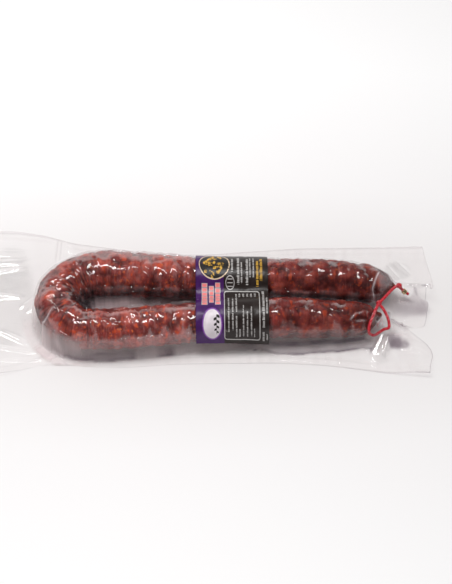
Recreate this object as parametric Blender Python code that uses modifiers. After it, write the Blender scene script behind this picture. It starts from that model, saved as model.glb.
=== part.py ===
"""A horseshoe cured sausage, tied at its two ends and sealed in a clear bag that carries a printed label.

The sausage lies flat, its bend at -X and its tied ends at +X. The bag's underside is the plane Z = 0.
"""

import math

import bmesh
import bpy
import numpy as np
from mathutils import Vector, noise

MM = 0.001

# The sausage: a round link bent in the middle until its two legs lie side by side
SEAT_HEIGHT = 1.5 * MM
END_AXIS_RADIUS = 14.5 * MM
BEND_TIP_X = -115 * MM
BEND_TIP_Y = -5.5 * MM
REAR_BEND_LENGTH = 36 * MM
FRONT_BEND_LENGTH = 26 * MM
BEND_LINK_RADIUS = 18.4 * MM
LINK_SIDES = 24
LINK_STEP = 4.2 * MM
PATH_SUBDIVISIONS = 24

# Stations of the legs, as x, y and the link's radius there, in millimetres
REAR_LEG = (
    (155.5, 13.6, 2.4),
    (152.6, 13.8, 6.0),
    (146.5, 14.2, 12.2),
    (137.0, 15.0, 15.4),
    (120.0, 16.2, 16.6),
    (95.0, 17.4, 17.3),
    (55.0, 18.0, 17.5),
    (0.0, 19.2, 17.4),
    (-42.0, 21.0, 18.4),
    (-74.0, 22.2, 19.2),
)
FRONT_LEG = (
    (-74.0, -28.7, 17.0),
    (-45.0, -26.8, 16.7),
    (-11.0, -22.8, 16.5),
    (28.0, -19.3, 16.9),
    (66.0, -18.2, 17.0),
    (98.0, -18.2, 15.6),
    (122.0, -17.6, 14.4),
    (133.5, -16.2, 11.2),
    (139.0, -15.0, 6.2),
    (143.0, -14.0, 2.6),
)

# Relief of the skin: lumps of the coarse filling, creases across the bend and pleats at the tied ends
LUMP_SIZE = 7.5 * MM
LUMP_DEPTH = 1.5 * MM
LUMP_LEVEL = 0.55
MOST_RELIEF = 0.45
CREASE_PITCH = 8.4 * MM
CREASE_DEPTH = 0.7 * MM
CREASE_START_X = -80 * MM
CREASE_FADE = 15 * MM
PLEATS = 6
PLEAT_DEPTH = 0.9 * MM
PLEAT_REACH = 26 * MM

# The bag: two films, welded flat round the link and drawn up against its sides
FILM_THICKNESS = 1.2 * MM
LEFT_END = -186 * MM
RIGHT_END = 181 * MM
END_WAVE = 1.6 * MM
END_WAVE_LENGTH = 132 * MM
RIGHT_PULL_START = 0.86
EDGE_EASE = 9 * MM
SKIRT_HEIGHT = 11 * MM
SKIRT_REACH = 8.5 * MM
SKIRT_CURVE = 1.4
SKIRT_FADE_X = 124 * MM
SKIRT_FADE_SLOPE = 0.9
SKIRT_LEAST = 2 * MM
TENT_X = 140 * MM
TENT_HEIGHT = 6.5 * MM
TENT_REACH = 30 * MM
CURL_HEIGHT = 4.5 * MM
CURL_REACH = 34 * MM
CURL_SWAY = 82 * MM
CURL_LEFT_SHARE = 0.6
FLAT_LEFT = -130 * MM
FLAT_RIGHT = 140 * MM
RIPPLE_HEIGHT = 0.8 * MM
RIPPLE_PITCH = 29 * MM
RIPPLE_BEND = 107 * MM
RIPPLE_FADE = 20 * MM
GRID_COLUMNS = 62
GRID_ROWS = 26
TROUGH_SIDES = 20
TROUGH_STEP = 7 * MM
TROUGH_GAP = 0.7 * MM

# The bag's right end, as y and x from its front corner: one fold reaches in as a notch, in millimetres
RIGHT_EDGE = (
    (-62, 182.6),
    (-52.5, 183.6),
    (-44, 185.4),
    (-38, 183.8),
    (-32, 179.6),
    (-24, 171.5),
    (-18.4, 165.4),
    (-16.4, 176.6),
    (-10, 180.6),
    (1, 182.6),
    (10, 180.2),
    (21, 185.8),
    (33, 184.4),
    (48, 181.2),
    (64, 178),
)
# The bag's long edges in plan, as x and y, in millimetres
REAR_EDGE = (
    (-190, 79),
    (-150, 78),
    (-126, 74),
    (-112, 68),
    (-73, 61.5),
    (-30, 56),
    (5, 55.5),
    (47, 59.5),
    (80, 62),
    (190, 63.5),
)
FRONT_EDGE = (
    (-190, -62),
    (-160, -61),
    (-143, -57),
    (-125, -51),
    (-110, -48.5),
    (-98, -53),
    (-60, -54),
    (-20, -50.5),
    (60, -49.5),
    (100, -52),
    (127, -56),
    (150, -59.5),
    (190, -62),
)

# The label: one printed sheet over both legs
LABEL_LEFT = -4.4 * MM
LABEL_RIGHT = 54 * MM
LABEL_SKEW = 1.2 * MM
LABEL_THICKNESS = 0.4 * MM
LABEL_CLEARANCE = 0.7 * MM
LABEL_REAR_ANGLE = math.radians(-8)
LABEL_VALLEY_ANGLE = math.radians(48)
LABEL_TANGENT_ANGLE = math.radians(20)
LABEL_TAIL_LEFT = 8 * MM
LABEL_TAIL_RIGHT = 13 * MM
LABEL_COLUMNS = 8
LABEL_ARC_STEPS = 9
LABEL_VALLEY_STEPS = 5
LABEL_TAIL_STEPS = 2

# The tie string, its knots and its metal clip
STRING_RADIUS = 1.05 * MM
STRING_STEP = 2.6 * MM
STRING_GAP = 0.35 * MM
CLEARANCE_STEP = 1 * MM
KNOT_RADIUS = 2.1 * MM
CLIP_LENGTH = 3.4 * MM
CLIP_WALL = 0.75 * MM
CLIP_GAP = 0.35 * MM
CLIP_SIDES = 16

# The string's tail, from its cut end past the rear leg's tip to the junction, in millimetres
STRING_TAIL = (
    (166.8, 10.0, 9.8),
    (163.4, 11.6, 11.2),
    (160.4, 13.2, 13.6),
    (157.6, 13.2, 17.2),
    (153.6, 8.8, 19.6),
    (148.8, 3.2, 19.8),
    (144.4, -2.0, 19.8),
    (141.4, -5.4, 20.2),
)
# The loop round the front leg's end, from the junction, in millimetres
STRING_LOOP = (
    (141.2, -5.8, 20.2),
    (138.6, -13.0, 24.2),
    (135.3, -21.5, 25.5),
    (132.6, -26.4, 23.0),
    (131.9, -28.4, 18.0),
    (133.8, -29.0, 11.5),
    (137.4, -28.4, 8.4),
    (141.4, -25.6, 8.4),
    (145.6, -22.8, 8.6),
    (149.2, -21.4, 8.4),
    (149.4, -18.0, 10.6),
    (147.8, -14.4, 14.6),
    (145.0, -10.4, 18.0),
)


def to_metres(rows):
    """A list of rows in millimetres, as an array in metres."""
    return np.array(rows, float) * MM


def smooth_path(points, step, axes=3):
    """A Catmull-Rom curve through the points, read at about every step of its length along the first axes."""
    points = np.asarray(points, float)
    padded = np.vstack([2 * points[0] - points[1], points, 2 * points[-1] - points[-2]])
    fine = []
    for before, start, end, after in zip(padded, padded[1:], padded[2:], padded[3:]):
        for t in np.linspace(0, 1, PATH_SUBDIVISIONS, endpoint=False):
            place = 2 * start + (end - before) * t
            place = place + (2 * before - 5 * start + 4 * end - after) * t**2
            place = place + (3 * start - before - 3 * end + after) * t**3
            fine.append(0.5 * place)
    fine = np.array(fine + [points[-1]])
    lengths = np.linalg.norm(np.diff(fine[:, :axes], axis=0), axis=1)
    along = np.concatenate([[0], np.cumsum(lengths)])
    wanted = np.linspace(0, along[-1], max(2, round(along[-1] / step) + 1))
    return np.column_stack([np.interp(wanted, along, fine[:, i]) for i in range(fine.shape[1])])


def link_route(step):
    """Rows of x, y and radius along the link, from the rear tip round the bend to the front tip."""
    rear, front = to_metres(REAR_LEG), to_metres(FRONT_LEG)
    into_bend = bend_rows(np.radians(np.arange(0, 76, 15)), rear[-1], REAR_BEND_LENGTH)
    out_of_bend = bend_rows(np.radians(np.arange(90, -1, -15)), front[0], FRONT_BEND_LENGTH)
    return smooth_path(np.vstack([rear, into_bend, out_of_bend, front]), step, axes=2)


def bend_rows(angles, leg_end, length):
    """Rows of one elliptical half of the bend, from a leg (angle 0) to the bend's tip (90 degrees)."""
    swing = np.sin(angles)
    return np.column_stack(
        [
            BEND_TIP_X + length * (1 - swing),
            BEND_TIP_Y + (leg_end[1] - BEND_TIP_Y) * np.cos(angles),
            leg_end[2] + (BEND_LINK_RADIUS - leg_end[2]) * swing,
        ]
    )


def axis_height(radius):
    """The height of the link's axis where it has this radius: the tied ends don't drop to the bag."""
    return SEAT_HEIGHT + np.maximum(radius, END_AXIS_RADIUS)


def new_material(name, color, roughness, metallic=0.0, alpha=1.0):
    """A Principled material."""
    material = bpy.data.materials.new(name)
    material.use_nodes = True
    shader = material.node_tree.nodes["Principled BSDF"]
    shader.inputs["Base Color"].default_value = (*color, 1.0)
    shader.inputs["Roughness"].default_value = roughness
    shader.inputs["Metallic"].default_value = metallic
    shader.inputs["Alpha"].default_value = alpha
    return material


def new_object(name, mesh, material, collection):
    """An object of this mesh with one material, in this collection."""
    made = bpy.data.objects.new(name, mesh)
    mesh.materials.clear()
    mesh.materials.append(material)
    collection.objects.link(made)
    return made


def tube_mesh(name, points, radii, resolution, cyclic=False):
    """A closed mesh tube through the points, from a bevelled curve whose caps are welded."""
    curve = bpy.data.curves.new(name, "CURVE")
    curve.dimensions = "3D"
    curve.twist_mode = "Z_UP"
    curve.bevel_depth = 1.0
    curve.bevel_resolution = resolution
    curve.use_fill_caps = not cyclic
    spline = curve.splines.new("POLY")
    spline.points.add(len(points) - 1)
    spline.use_cyclic_u = cyclic
    for point, place, radius in zip(spline.points, points, radii):
        point.co = (*place, 1.0)
        point.radius = radius
    holder = bpy.data.objects.new(name, curve)
    bpy.context.scene.collection.objects.link(holder)
    bpy.context.view_layer.update()
    evaluated = holder.evaluated_get(bpy.context.evaluated_depsgraph_get())
    mesh = bpy.data.meshes.new_from_object(evaluated)
    bpy.data.objects.remove(holder)
    bm = bmesh.new()
    bm.from_mesh(mesh)
    bmesh.ops.remove_doubles(bm, verts=bm.verts, dist=1e-6)
    bmesh.ops.recalc_face_normals(bm, faces=bm.faces)
    bm.to_mesh(mesh)
    bm.free()
    return mesh


def link_mesh(name, step, sides, grow=0.0):
    """The link as a plain tube, its radius and tips grown by a margin."""
    rows = link_route(step)
    points = np.column_stack([rows[:, 0], rows[:, 1], axis_height(rows[:, 2])])
    if grow:
        points[0] += [grow, 0, 0]
        points[-1] += [grow, 0, 0]
    return tube_mesh(name, points, rows[:, 2] + grow, sides // 2 - 2)


def relief_depth(place, rows, along):
    """How far the skin sinks at a place: lumps everywhere, creases on the bend, pleats at the ends."""
    nearest = int(np.argmin(np.hypot(rows[:, 0] - place.x, rows[:, 1] - place.y)))
    radius = rows[nearest, 2]
    lump = noise.noise(Vector(place) / LUMP_SIZE) + 0.5 * noise.noise(Vector(place) / (0.5 * LUMP_SIZE))
    depth = LUMP_DEPTH * min(1.0, max(0.0, LUMP_LEVEL - lump))
    if place.x < CREASE_START_X:
        wave = 0.5 + 0.5 * math.cos(2 * math.pi * along[nearest] / CREASE_PITCH)
        depth += CREASE_DEPTH * wave * min(1.0, (CREASE_START_X - place.x) / CREASE_FADE)
    end_distance = min(along[nearest], along[-1] - along[nearest])
    if end_distance < PLEAT_REACH:
        centre = Vector((rows[nearest, 0], rows[nearest, 1], axis_height(radius)))
        spoke = place - centre
        angle = math.atan2(spoke.z, spoke.y)
        fade = 1 - end_distance / PLEAT_REACH
        depth += PLEAT_DEPTH * fade * (0.5 + 0.5 * math.cos(PLEATS * angle))
    return min(depth, MOST_RELIEF * radius)


def make_sausage(collection):
    """The link with its lumpy skin, which sinks from the plain tube and never stands proud of it."""
    mesh = link_mesh("sausage", LINK_STEP, LINK_SIDES)
    rows = link_route(LINK_STEP)
    steps = np.hypot(np.diff(rows[:, 0]), np.diff(rows[:, 1]))
    along = np.concatenate([[0], np.cumsum(steps)])
    bm = bmesh.new()
    bm.from_mesh(mesh)
    bm.normal_update()
    moves = [(v, v.normal * -relief_depth(v.co, rows, along)) for v in bm.verts]
    for vertex, move in moves:
        vertex.co += move
    bmesh.ops.triangulate(bm, faces=bm.faces)
    bm.to_mesh(mesh)
    bm.free()
    mesh.shade_smooth()
    return new_object("sausage", mesh, new_material("skin", (0.16, 0.025, 0.016), 0.3), collection)


def edge_place(points, at):
    """A bag edge read at one place along it, between its points."""
    rows = to_metres(points)
    return float(np.interp(at, rows[:, 0], rows[:, 1]))


def smooth_edge(points, x):
    """The y of a long edge at x, averaged over a short stretch, which rounds its corners."""
    return sum(edge_place(points, x + shift * EDGE_EASE) for shift in (-1, -0.5, 0, 0.5, 1)) / 5


def ease(share):
    """A share from 0 to 1 that starts and ends gently."""
    share = min(1.0, max(0.0, share))
    return share * share * (3 - 2 * share)


def bag_place(share, across):
    """The plan place at a share of the bag's length and a share of its width, from its front left corner."""
    x = LEFT_END + share * (RIGHT_END - LEFT_END)
    front, rear = smooth_edge(FRONT_EDGE, x), smooth_edge(REAR_EDGE, x)
    y = front + across * (rear - front)
    left_wave = END_WAVE * math.sin(2 * math.pi * y / END_WAVE_LENGTH)
    right_pull = ease((share - RIGHT_PULL_START) / (1 - RIGHT_PULL_START))
    return x + (1 - share) * left_wave + right_pull * (edge_place(RIGHT_EDGE, y) - RIGHT_END), y


def link_distance(x, y, rows):
    """How far a point in plan lies outside the link's silhouette; negative under the link."""
    return float(np.min(np.hypot(rows[:, 0] - x, rows[:, 1] - y) - rows[:, 2]))


def curl(x, y):
    """How high the bag's loose ends lift off the surface that it lies on."""
    past_left = max(0.0, FLAT_LEFT - x)
    past_right = max(0.0, x - FLAT_RIGHT)
    left = math.sin(min(1.0, past_left / CURL_REACH) * math.pi / 2) ** 2
    right = math.sin(min(1.0, past_right / CURL_REACH) * math.pi / 2) ** 2
    sway = 0.5 + 0.5 * math.sin(2 * math.pi * y / CURL_SWAY + 0.6)
    return CURL_HEIGHT * sway * (CURL_LEFT_SHARE * left + right)


def film_top(x, y, rows):
    """The height of the bag's upper film above its lower film."""
    outside = max(0.0, link_distance(x, y, rows))
    past_fade = max(0.0, x - SKIRT_FADE_X)
    limit = max(SKIRT_LEAST, SKIRT_HEIGHT - SKIRT_FADE_SLOPE * past_fade)
    skirt = min(limit, SKIRT_HEIGHT * max(0.0, 1 - outside / SKIRT_REACH) ** SKIRT_CURVE)
    tent = TENT_HEIGHT * max(0.0, 1 - math.hypot(x - TENT_X, y) / TENT_REACH)
    phase = 2.2 * math.sin(2 * math.pi * x / RIPPLE_BEND)
    ripple = RIPPLE_HEIGHT * (0.5 + 0.5 * math.sin(2 * math.pi * y / RIPPLE_PITCH + phase))
    at_ends = ease(max(FLAT_LEFT - x, x - FLAT_RIGHT) / RIPPLE_FADE)
    return FILM_THICKNESS + max(skirt, tent) + ripple * at_ends


def make_bag(collection, cutters):
    """The sealed bag as one solid: flat films, skirts up the link's sides and the trough that it lies in."""
    rows = link_route(LINK_STEP)
    bm = bmesh.new()
    bmesh.ops.create_grid(bm, x_segments=GRID_COLUMNS, y_segments=GRID_ROWS, size=0.5)
    for vertex in bm.verts:
        vertex.co = (*bag_place(vertex.co.x + 0.5, vertex.co.y + 0.5), 0.0)
    lower = list(bm.verts)
    raised = bmesh.ops.extrude_face_region(bm, geom=list(bm.faces))["geom"]
    upper = [item for item in raised if isinstance(item, bmesh.types.BMVert)]
    for vertex in lower:
        vertex.co.z = curl(vertex.co.x, vertex.co.y)
    for vertex in upper:
        x, y = vertex.co.x, vertex.co.y
        vertex.co.z = curl(x, y) + film_top(x, y, rows)
    bmesh.ops.recalc_face_normals(bm, faces=bm.faces)
    bmesh.ops.dissolve_limit(
        bm, angle_limit=math.radians(0.3), verts=list(bm.verts), edges=list(bm.edges)
    )
    bmesh.ops.triangulate(bm, faces=bm.faces)
    mesh = bpy.data.meshes.new("bag")
    bm.to_mesh(mesh)
    bm.free()
    bag = new_object("bag", mesh, new_material("film", (0.86, 0.84, 0.86), 0.15, alpha=0.35), collection)

    trough_mesh = link_mesh("trough", TROUGH_STEP, TROUGH_SIDES, grow=TROUGH_GAP)
    trough = new_object("trough", trough_mesh, bag.data.materials[0], cutters)
    trough.hide_render = True
    trough.display_type = "WIRE"
    cut = bag.modifiers.new("trough", "BOOLEAN")
    cut.operation = "DIFFERENCE"
    cut.object = trough
    return bag


def arc_points(centre, radius, start, end, steps):
    """Points of an arc in the Y-Z plane, angles from +Y towards +Z."""
    return [
        (centre[0] + radius * math.cos(angle), centre[1] + radius * math.sin(angle))
        for angle in np.linspace(start, end, steps + 1)
    ]


def leg_section(x, rear):
    """The centre (y, z) and the radius of one leg's section at x."""
    rows = link_route(LINK_STEP)
    turn = int(np.argmin(rows[:, 0]))
    leg = rows[: turn + 1][::-1] if rear else rows[turn:]
    y = np.interp(x, leg[:, 0], leg[:, 1])
    radius = np.interp(x, leg[:, 0], leg[:, 2])
    return (y, axis_height(radius)), radius


def label_section(x):
    """The label's path across both legs at x, as (y, z), from its rear edge to its front edge."""
    rear_centre, rear_radius = leg_section(x, rear=True)
    front_centre, front_radius = leg_section(x, rear=False)
    rear_radius += LABEL_CLEARANCE
    front_radius += LABEL_CLEARANCE
    rear_end = math.pi - LABEL_VALLEY_ANGLE
    front_end = math.pi - LABEL_TANGENT_ANGLE
    rear = arc_points(rear_centre, rear_radius, LABEL_REAR_ANGLE, rear_end, LABEL_ARC_STEPS)
    front = arc_points(front_centre, front_radius, LABEL_VALLEY_ANGLE, front_end, LABEL_ARC_STEPS)
    start, end = np.array(rear[-1]), np.array(front[0])
    span = end[0] - start[0]
    start_slope = span * np.array([1.0, -1 / math.tan(rear_end)])
    end_slope = span * np.array([1.0, -1 / math.tan(LABEL_VALLEY_ANGLE)])
    valley = []
    for t in np.linspace(0, 1, LABEL_VALLEY_STEPS + 2)[1:-1]:
        valley.append(
            (2 * t**3 - 3 * t**2 + 1) * start
            + (t**3 - 2 * t**2 + t) * start_slope
            + (3 * t**2 - 2 * t**3) * end
            + (t**3 - t**2) * end_slope
        )
    down = np.array([-math.sin(LABEL_TANGENT_ANGLE), -math.cos(LABEL_TANGENT_ANGLE)])
    share = (x - LABEL_LEFT) / (LABEL_RIGHT - LABEL_LEFT)
    reach = LABEL_TAIL_LEFT + share * (LABEL_TAIL_RIGHT - LABEL_TAIL_LEFT)
    steps = np.linspace(0, reach, LABEL_TAIL_STEPS + 1)[1:]
    tail = [np.array(front[-1]) + down * step for step in steps]
    return [tuple(point) for point in [*rear, *valley, *front, *tail]]


def make_label(collection):
    """The printed label: an open sheet over both legs, thickened outwards."""
    sections = []
    for share in np.linspace(0, 1, LABEL_COLUMNS + 1):
        x = LABEL_LEFT + share * (LABEL_RIGHT - LABEL_LEFT)
        sections.append([(x, y, z) for y, z in label_section(x)])
    count = len(sections[0])
    bm = bmesh.new()
    bmesh.ops.create_grid(bm, x_segments=LABEL_COLUMNS, y_segments=count - 1, size=0.5)
    for vertex in bm.verts:
        column = round((vertex.co.x + 0.5) * LABEL_COLUMNS)
        row = round((0.5 - vertex.co.y) * (count - 1))
        x, y, z = sections[column][row]
        vertex.co = (x + LABEL_SKEW * (row / (count - 1) - 0.5), y, z)
    bmesh.ops.recalc_face_normals(bm, faces=bm.faces)
    upward = sum(face.normal.z for face in bm.faces)
    if upward < 0:
        bmesh.ops.reverse_faces(bm, faces=bm.faces)
    mesh = bpy.data.meshes.new("label")
    bm.to_mesh(mesh)
    bm.free()
    label = new_object("label", mesh, new_material("print", (0.05, 0.035, 0.06), 0.35), collection)
    sheet = label.modifiers.new("thickness", "SOLIDIFY")
    sheet.thickness = LABEL_THICKNESS
    sheet.offset = 1.0
    sheet.use_even_offset = True
    return label


def clear_of_link(points, rows):
    """String points moved straight out from the link's axis until the string clears the skin."""
    moved = []
    for point in points:
        nearest = int(np.argmin(np.hypot(rows[:, 0] - point[0], rows[:, 1] - point[1])))
        centre = np.array([rows[nearest, 0], rows[nearest, 1], axis_height(rows[nearest, 2])])
        spoke = point - centre
        least = rows[nearest, 2] + STRING_RADIUS + STRING_GAP
        moved.append(centre + spoke * max(1.0, least / np.linalg.norm(spoke)))
    return np.array(moved)


def string_paths():
    """The string's tail and its closed loop, clear of the skin."""
    rows = link_route(CLEARANCE_STEP)
    tail = smooth_path(to_metres(STRING_TAIL), STRING_STEP)
    loop = smooth_path(to_metres(STRING_LOOP + STRING_LOOP[:1]), STRING_STEP)[:-1]
    return clear_of_link(tail, rows), clear_of_link(loop, rows)


def make_string(collection, cutters, tail, loop):
    """The tie string: a tail over the rear tip, a loop round the front end and two knots, in one piece."""
    material = new_material("string", (0.55, 0.02, 0.03), 0.7)
    mesh = tube_mesh("string", tail, np.full(len(tail), STRING_RADIUS), 2)
    string = new_object("string", mesh, material, collection)
    ring_mesh = tube_mesh("string_loop", loop, np.full(len(loop), STRING_RADIUS), 2, cyclic=True)
    fused = [new_object("string_loop", ring_mesh, material, cutters)]
    for name, place in (("string_knot_front", tail[-1]), ("string_knot_rear", tail[len(tail) // 3])):
        bm = bmesh.new()
        bmesh.ops.create_uvsphere(bm, u_segments=10, v_segments=6, radius=KNOT_RADIUS)
        knot_mesh = bpy.data.meshes.new(name)
        bm.to_mesh(knot_mesh)
        bm.free()
        knot = new_object(name, knot_mesh, material, cutters)
        knot.location = place
        fused.append(knot)
    for piece in fused:
        piece.hide_render = True
        piece.display_type = "WIRE"
        join = string.modifiers.new(piece.name, "BOOLEAN")
        join.operation = "UNION"
        join.object = piece
    return string


def make_clip(collection, tail):
    """The metal clip: a short band round the string near its cut end."""
    middle = (tail[1] + tail[2]) / 2
    direction = Vector(tail[1] - tail[2]).normalized()
    inner = STRING_RADIUS + CLIP_GAP
    outer = inner + CLIP_WALL
    bm = bmesh.new()
    profile = [
        bm.verts.new((radius, 0, height))
        for radius, height in (
            (outer, 0.5 * CLIP_LENGTH),
            (outer, -0.5 * CLIP_LENGTH),
            (inner, -0.5 * CLIP_LENGTH),
            (inner, 0.5 * CLIP_LENGTH),
        )
    ]
    for start, end in zip(profile, profile[1:] + profile[:1]):
        bm.edges.new((start, end))
    mesh = bpy.data.meshes.new("clip")
    bm.to_mesh(mesh)
    bm.free()
    clip = new_object("clip", mesh, new_material("metal", (0.75, 0.6, 0.35), 0.3, metallic=1.0), collection)
    clip.location = middle
    clip.rotation_mode = "QUATERNION"
    clip.rotation_quaternion = direction.to_track_quat("Z", "Y")
    turn = clip.modifiers.new("turn", "SCREW")
    turn.steps = CLIP_SIDES
    turn.render_steps = CLIP_SIDES
    turn.use_merge_vertices = True
    turn.merge_threshold = 1e-5
    return clip


def main():
    for old in list(bpy.data.objects):
        bpy.data.objects.remove(old)
    parts = bpy.data.collections.new("sealed_sausage")
    cutters = bpy.data.collections.new("cutters")
    bpy.context.scene.collection.children.link(parts)
    bpy.context.scene.collection.children.link(cutters)
    make_sausage(parts)
    make_bag(parts, cutters)
    make_label(parts)
    tail, loop = string_paths()
    make_string(parts, cutters, tail, loop)
    make_clip(parts, tail)


main()
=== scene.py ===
"""The looks of the sealed horseshoe sausage: skin, film, label, string and clip."""

import itertools
import math

import bpy
import numpy as np
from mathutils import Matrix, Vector
from mathutils.bvhtree import BVHTree


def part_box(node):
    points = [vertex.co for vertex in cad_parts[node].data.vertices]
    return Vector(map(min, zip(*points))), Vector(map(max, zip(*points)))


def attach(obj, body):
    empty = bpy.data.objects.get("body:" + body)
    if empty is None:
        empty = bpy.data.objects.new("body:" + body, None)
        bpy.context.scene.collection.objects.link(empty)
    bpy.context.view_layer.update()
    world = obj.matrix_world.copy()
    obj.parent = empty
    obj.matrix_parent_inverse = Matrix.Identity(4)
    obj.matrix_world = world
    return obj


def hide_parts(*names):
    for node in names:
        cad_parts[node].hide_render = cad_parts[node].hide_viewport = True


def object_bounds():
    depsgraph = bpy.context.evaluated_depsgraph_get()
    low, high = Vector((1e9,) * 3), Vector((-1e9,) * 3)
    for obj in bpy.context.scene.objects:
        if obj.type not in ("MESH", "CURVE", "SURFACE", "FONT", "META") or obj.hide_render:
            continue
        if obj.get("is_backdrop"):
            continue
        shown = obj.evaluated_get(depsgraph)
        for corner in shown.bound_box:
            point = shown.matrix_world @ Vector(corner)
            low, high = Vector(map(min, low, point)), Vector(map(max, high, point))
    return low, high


MM = 0.001
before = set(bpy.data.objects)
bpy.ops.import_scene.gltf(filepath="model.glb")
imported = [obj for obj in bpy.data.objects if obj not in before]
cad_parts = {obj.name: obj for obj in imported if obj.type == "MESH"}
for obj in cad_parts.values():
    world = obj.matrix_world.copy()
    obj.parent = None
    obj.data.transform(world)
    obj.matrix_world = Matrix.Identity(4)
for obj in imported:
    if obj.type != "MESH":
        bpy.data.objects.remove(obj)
CAD_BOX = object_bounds()

# The photograph's view: a long lens from the front, well above the pack
CAMERA_ELEVATION = math.radians(56)
CAMERA_DISTANCE = 1.3
CAMERA_LENS = 100
CAMERA_TARGET = Vector((0.0196, 0.0066, 0.018))

# The studio: how far the floor reaches, and where the lamps look
FLOOR_REACH = 3.0
LIT_PLACE = Vector((0.02, 0, 0.02))

# The link's route in plan, as in the CAD: x, y and radius in millimetres
SEAT_HEIGHT = 1.5 * MM
END_AXIS_RADIUS = 14.5 * MM
BEND_TIP_X = -115 * MM
BEND_TIP_Y = -5.5 * MM
REAR_BEND_LENGTH = 36 * MM
FRONT_BEND_LENGTH = 26 * MM
BEND_LINK_RADIUS = 18.4 * MM
REAR_LEG = (
    (155.5, 13.6, 2.4), (152.6, 13.8, 6), (146.5, 14.2, 12.2), (137, 15, 15.4), (120, 16.2, 16.6),
    (95, 17.4, 17.3), (55, 18, 17.5), (0, 19.2, 17.4), (-42, 21, 18.4), (-74, 22.2, 19.2),
)
FRONT_LEG = (
    (-74, -28.7, 17), (-45, -26.8, 16.7), (-11, -22.8, 16.5), (28, -19.3, 16.9), (66, -18.2, 17),
    (98, -18.2, 15.6), (122, -17.6, 14.4), (133.5, -16.2, 11.2), (139, -15, 6.2), (143, -14, 2.6),
)

# The skin's mesh and relief
LINK_STEP = 1.0 * MM
LINK_SIDES = 112
LUMP_SIZE = 10.5 * MM
LUMP_SQUEEZE = 1.35
LUMP_DEPTH = 1.5 * MM
LUMP_STEEPNESS = 1.9
WARP_SIZE = 9 * MM
WARP_DEPTH = 2.2 * MM
NUB_SIZE = 4.6 * MM
NUB_DEPTH = 0.5 * MM
SWELL_SIZE = 17 * MM
SWELL_DEPTH = 1.1 * MM
GRAIN_SIZE = 1.9 * MM
GRAIN_DEPTH = 0.12 * MM
WRINKLE_PITCH = 2.0 * MM
WRINKLE_DEPTH = 0.5 * MM
BULGE = 0.8 * MM
PLEATS = 9
PLEAT_DEPTH = 1.0 * MM
PLEAT_REACH = 24 * MM

# The film
FILM_CLEARANCE = 0.3 * MM
FILM_FLAT = 0.45 * MM
# How much of the skin's relief it follows, and how it buckles: finely, widely, and in folds across the link
FOLLOWED = 0.92
FINE_BUCKLE = 0.07 * MM
WIDE_BUCKLE = 0.55 * MM
CROSS_BUCKLE = 0.34 * MM
BUCKLE_PITCH = 2.7 * MM
# Its points along the bag, and across it from the link's front and rear outline: start, end and spacing in mm
FILM_COLUMNS = ((-186, -142, 1.3), (-142, -110, 0.7), (-110, -4, 0.8), (-4, 122, 1.0), (122, 181, 0.75))
FRONT_ROWS = ((-7, 1, 0.4), (1, 13, 0.85), (13, 16.5, 0.45))
REAR_ROWS = ((-9, -2, 0.7), (-2, 6, 0.4))
RIM_ROWS = 11
MIDDLE_ROWS = 52
LOWER_KEEPS = 3
LOWER_HEIGHT = 0.12 * MM
# How milky and dark its cut rim is, and the faint line of the weld inside it
RIM_HAZE = 0.14
RIM_SHADE = 0.42
WELD_HAZE = 0.06
WELD_INSET = 6 * MM
WELD_WIDTH = 0.7 * MM
# Stretches over which the film changes, as the places where the change starts and ends: along x, then others
SLOPE_LESSENS = (30 * MM, 65 * MM)
LEFT_LOOK = (45 * MM, -10 * MM)
TAIL_CLEARS = (-95 * MM, -125 * MM)
SHADE_LEFT_END = (-128 * MM, -100 * MM)
SHADE_RIGHT_END = (152 * MM, 128 * MM)
GAP_SHEEN = (-20 * MM, -55 * MM)
GAP_LEFT_END = (-92 * MM, -86 * MM)
BEND_SHEEN = (-78 * MM, -98 * MM)
BEND_SHEEN_Y = (-2 * MM, -18 * MM)
SPOTS_GLOSS = (30 * MM, 75 * MM)
TENTS_FROM = 118 * MM
NEAR_FLOOR = (4 * MM, 0)
STANDS_OFF = (-0.6 * MM, 0.8 * MM)
SHADE_REACH = (13 * MM, 9 * MM)
CLEAR_OF_STRING = (2.2 * MM, 4.2 * MM)
# How milky it is: everywhere, where it clings on the left, less so in front, where it stands off, in streaks
BARE_HAZE = 0.003
CLING_HAZE = 0.028
FRONT_LESS = 0.02
LOOSE_HAZE = 0.05
STREAK_HAZE = 0.06
# Where it would cut a piece, it is lifted this far over it, if that takes no more than the most
LIFT_GAP = 0.12 * MM
MOST_LIFT = 7 * MM
# Where the milky veil starts on a leg, as a share of its radius, and the scallops of that edge
VEIL_START = 0.55
SCALLOP_LENGTH = 8 * MM
SCALLOP_DEPTH = 12 * MM
LEFT_END = -186 * MM
RIGHT_END = 181 * MM
END_WAVE = 1.6 * MM
SKIRT_SLOPE = 8.0
SKIRT_SLOPE_LOSS = 4.3
FOOT_FILLET = 1.5 * MM
CURL_HEIGHT = 4.5 * MM
CURL_REACH = 34 * MM
FLAT_LEFT = -130 * MM
FLAT_RIGHT = 140 * MM
RIGHT_EDGE = (
    (-62, 179.8), (-52.5, 181.2), (-44, 183.6), (-38, 182.8), (-32, 179.6), (-24, 171.5), (-18.4, 165.4),
    (-17.2, 166.6), (-16.4, 176.6), (-15, 179), (-10, 180.6), (-4, 181.4), (1, 182.6), (6, 180.8),
    (10, 180.2), (15, 184.4), (21, 188.2), (33, 187.2), (48, 184.8), (64, 182.4),
)
REAR_EDGE = (
    (-190, 79), (-150, 78), (-126, 74), (-112, 68), (-73, 61.5), (-30, 56), (5, 55.5), (47, 59.5), (80, 62),
    (190, 63.5),
)
FRONT_EDGE = (
    (-190, -62), (-160, -61), (-143, -57), (-125, -51), (-110, -48.5), (-98, -53), (-60, -54), (-20, -50.5),
    (60, -49.5), (100, -52), (127, -56), (150, -59.5), (190, -62),
)

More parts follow.
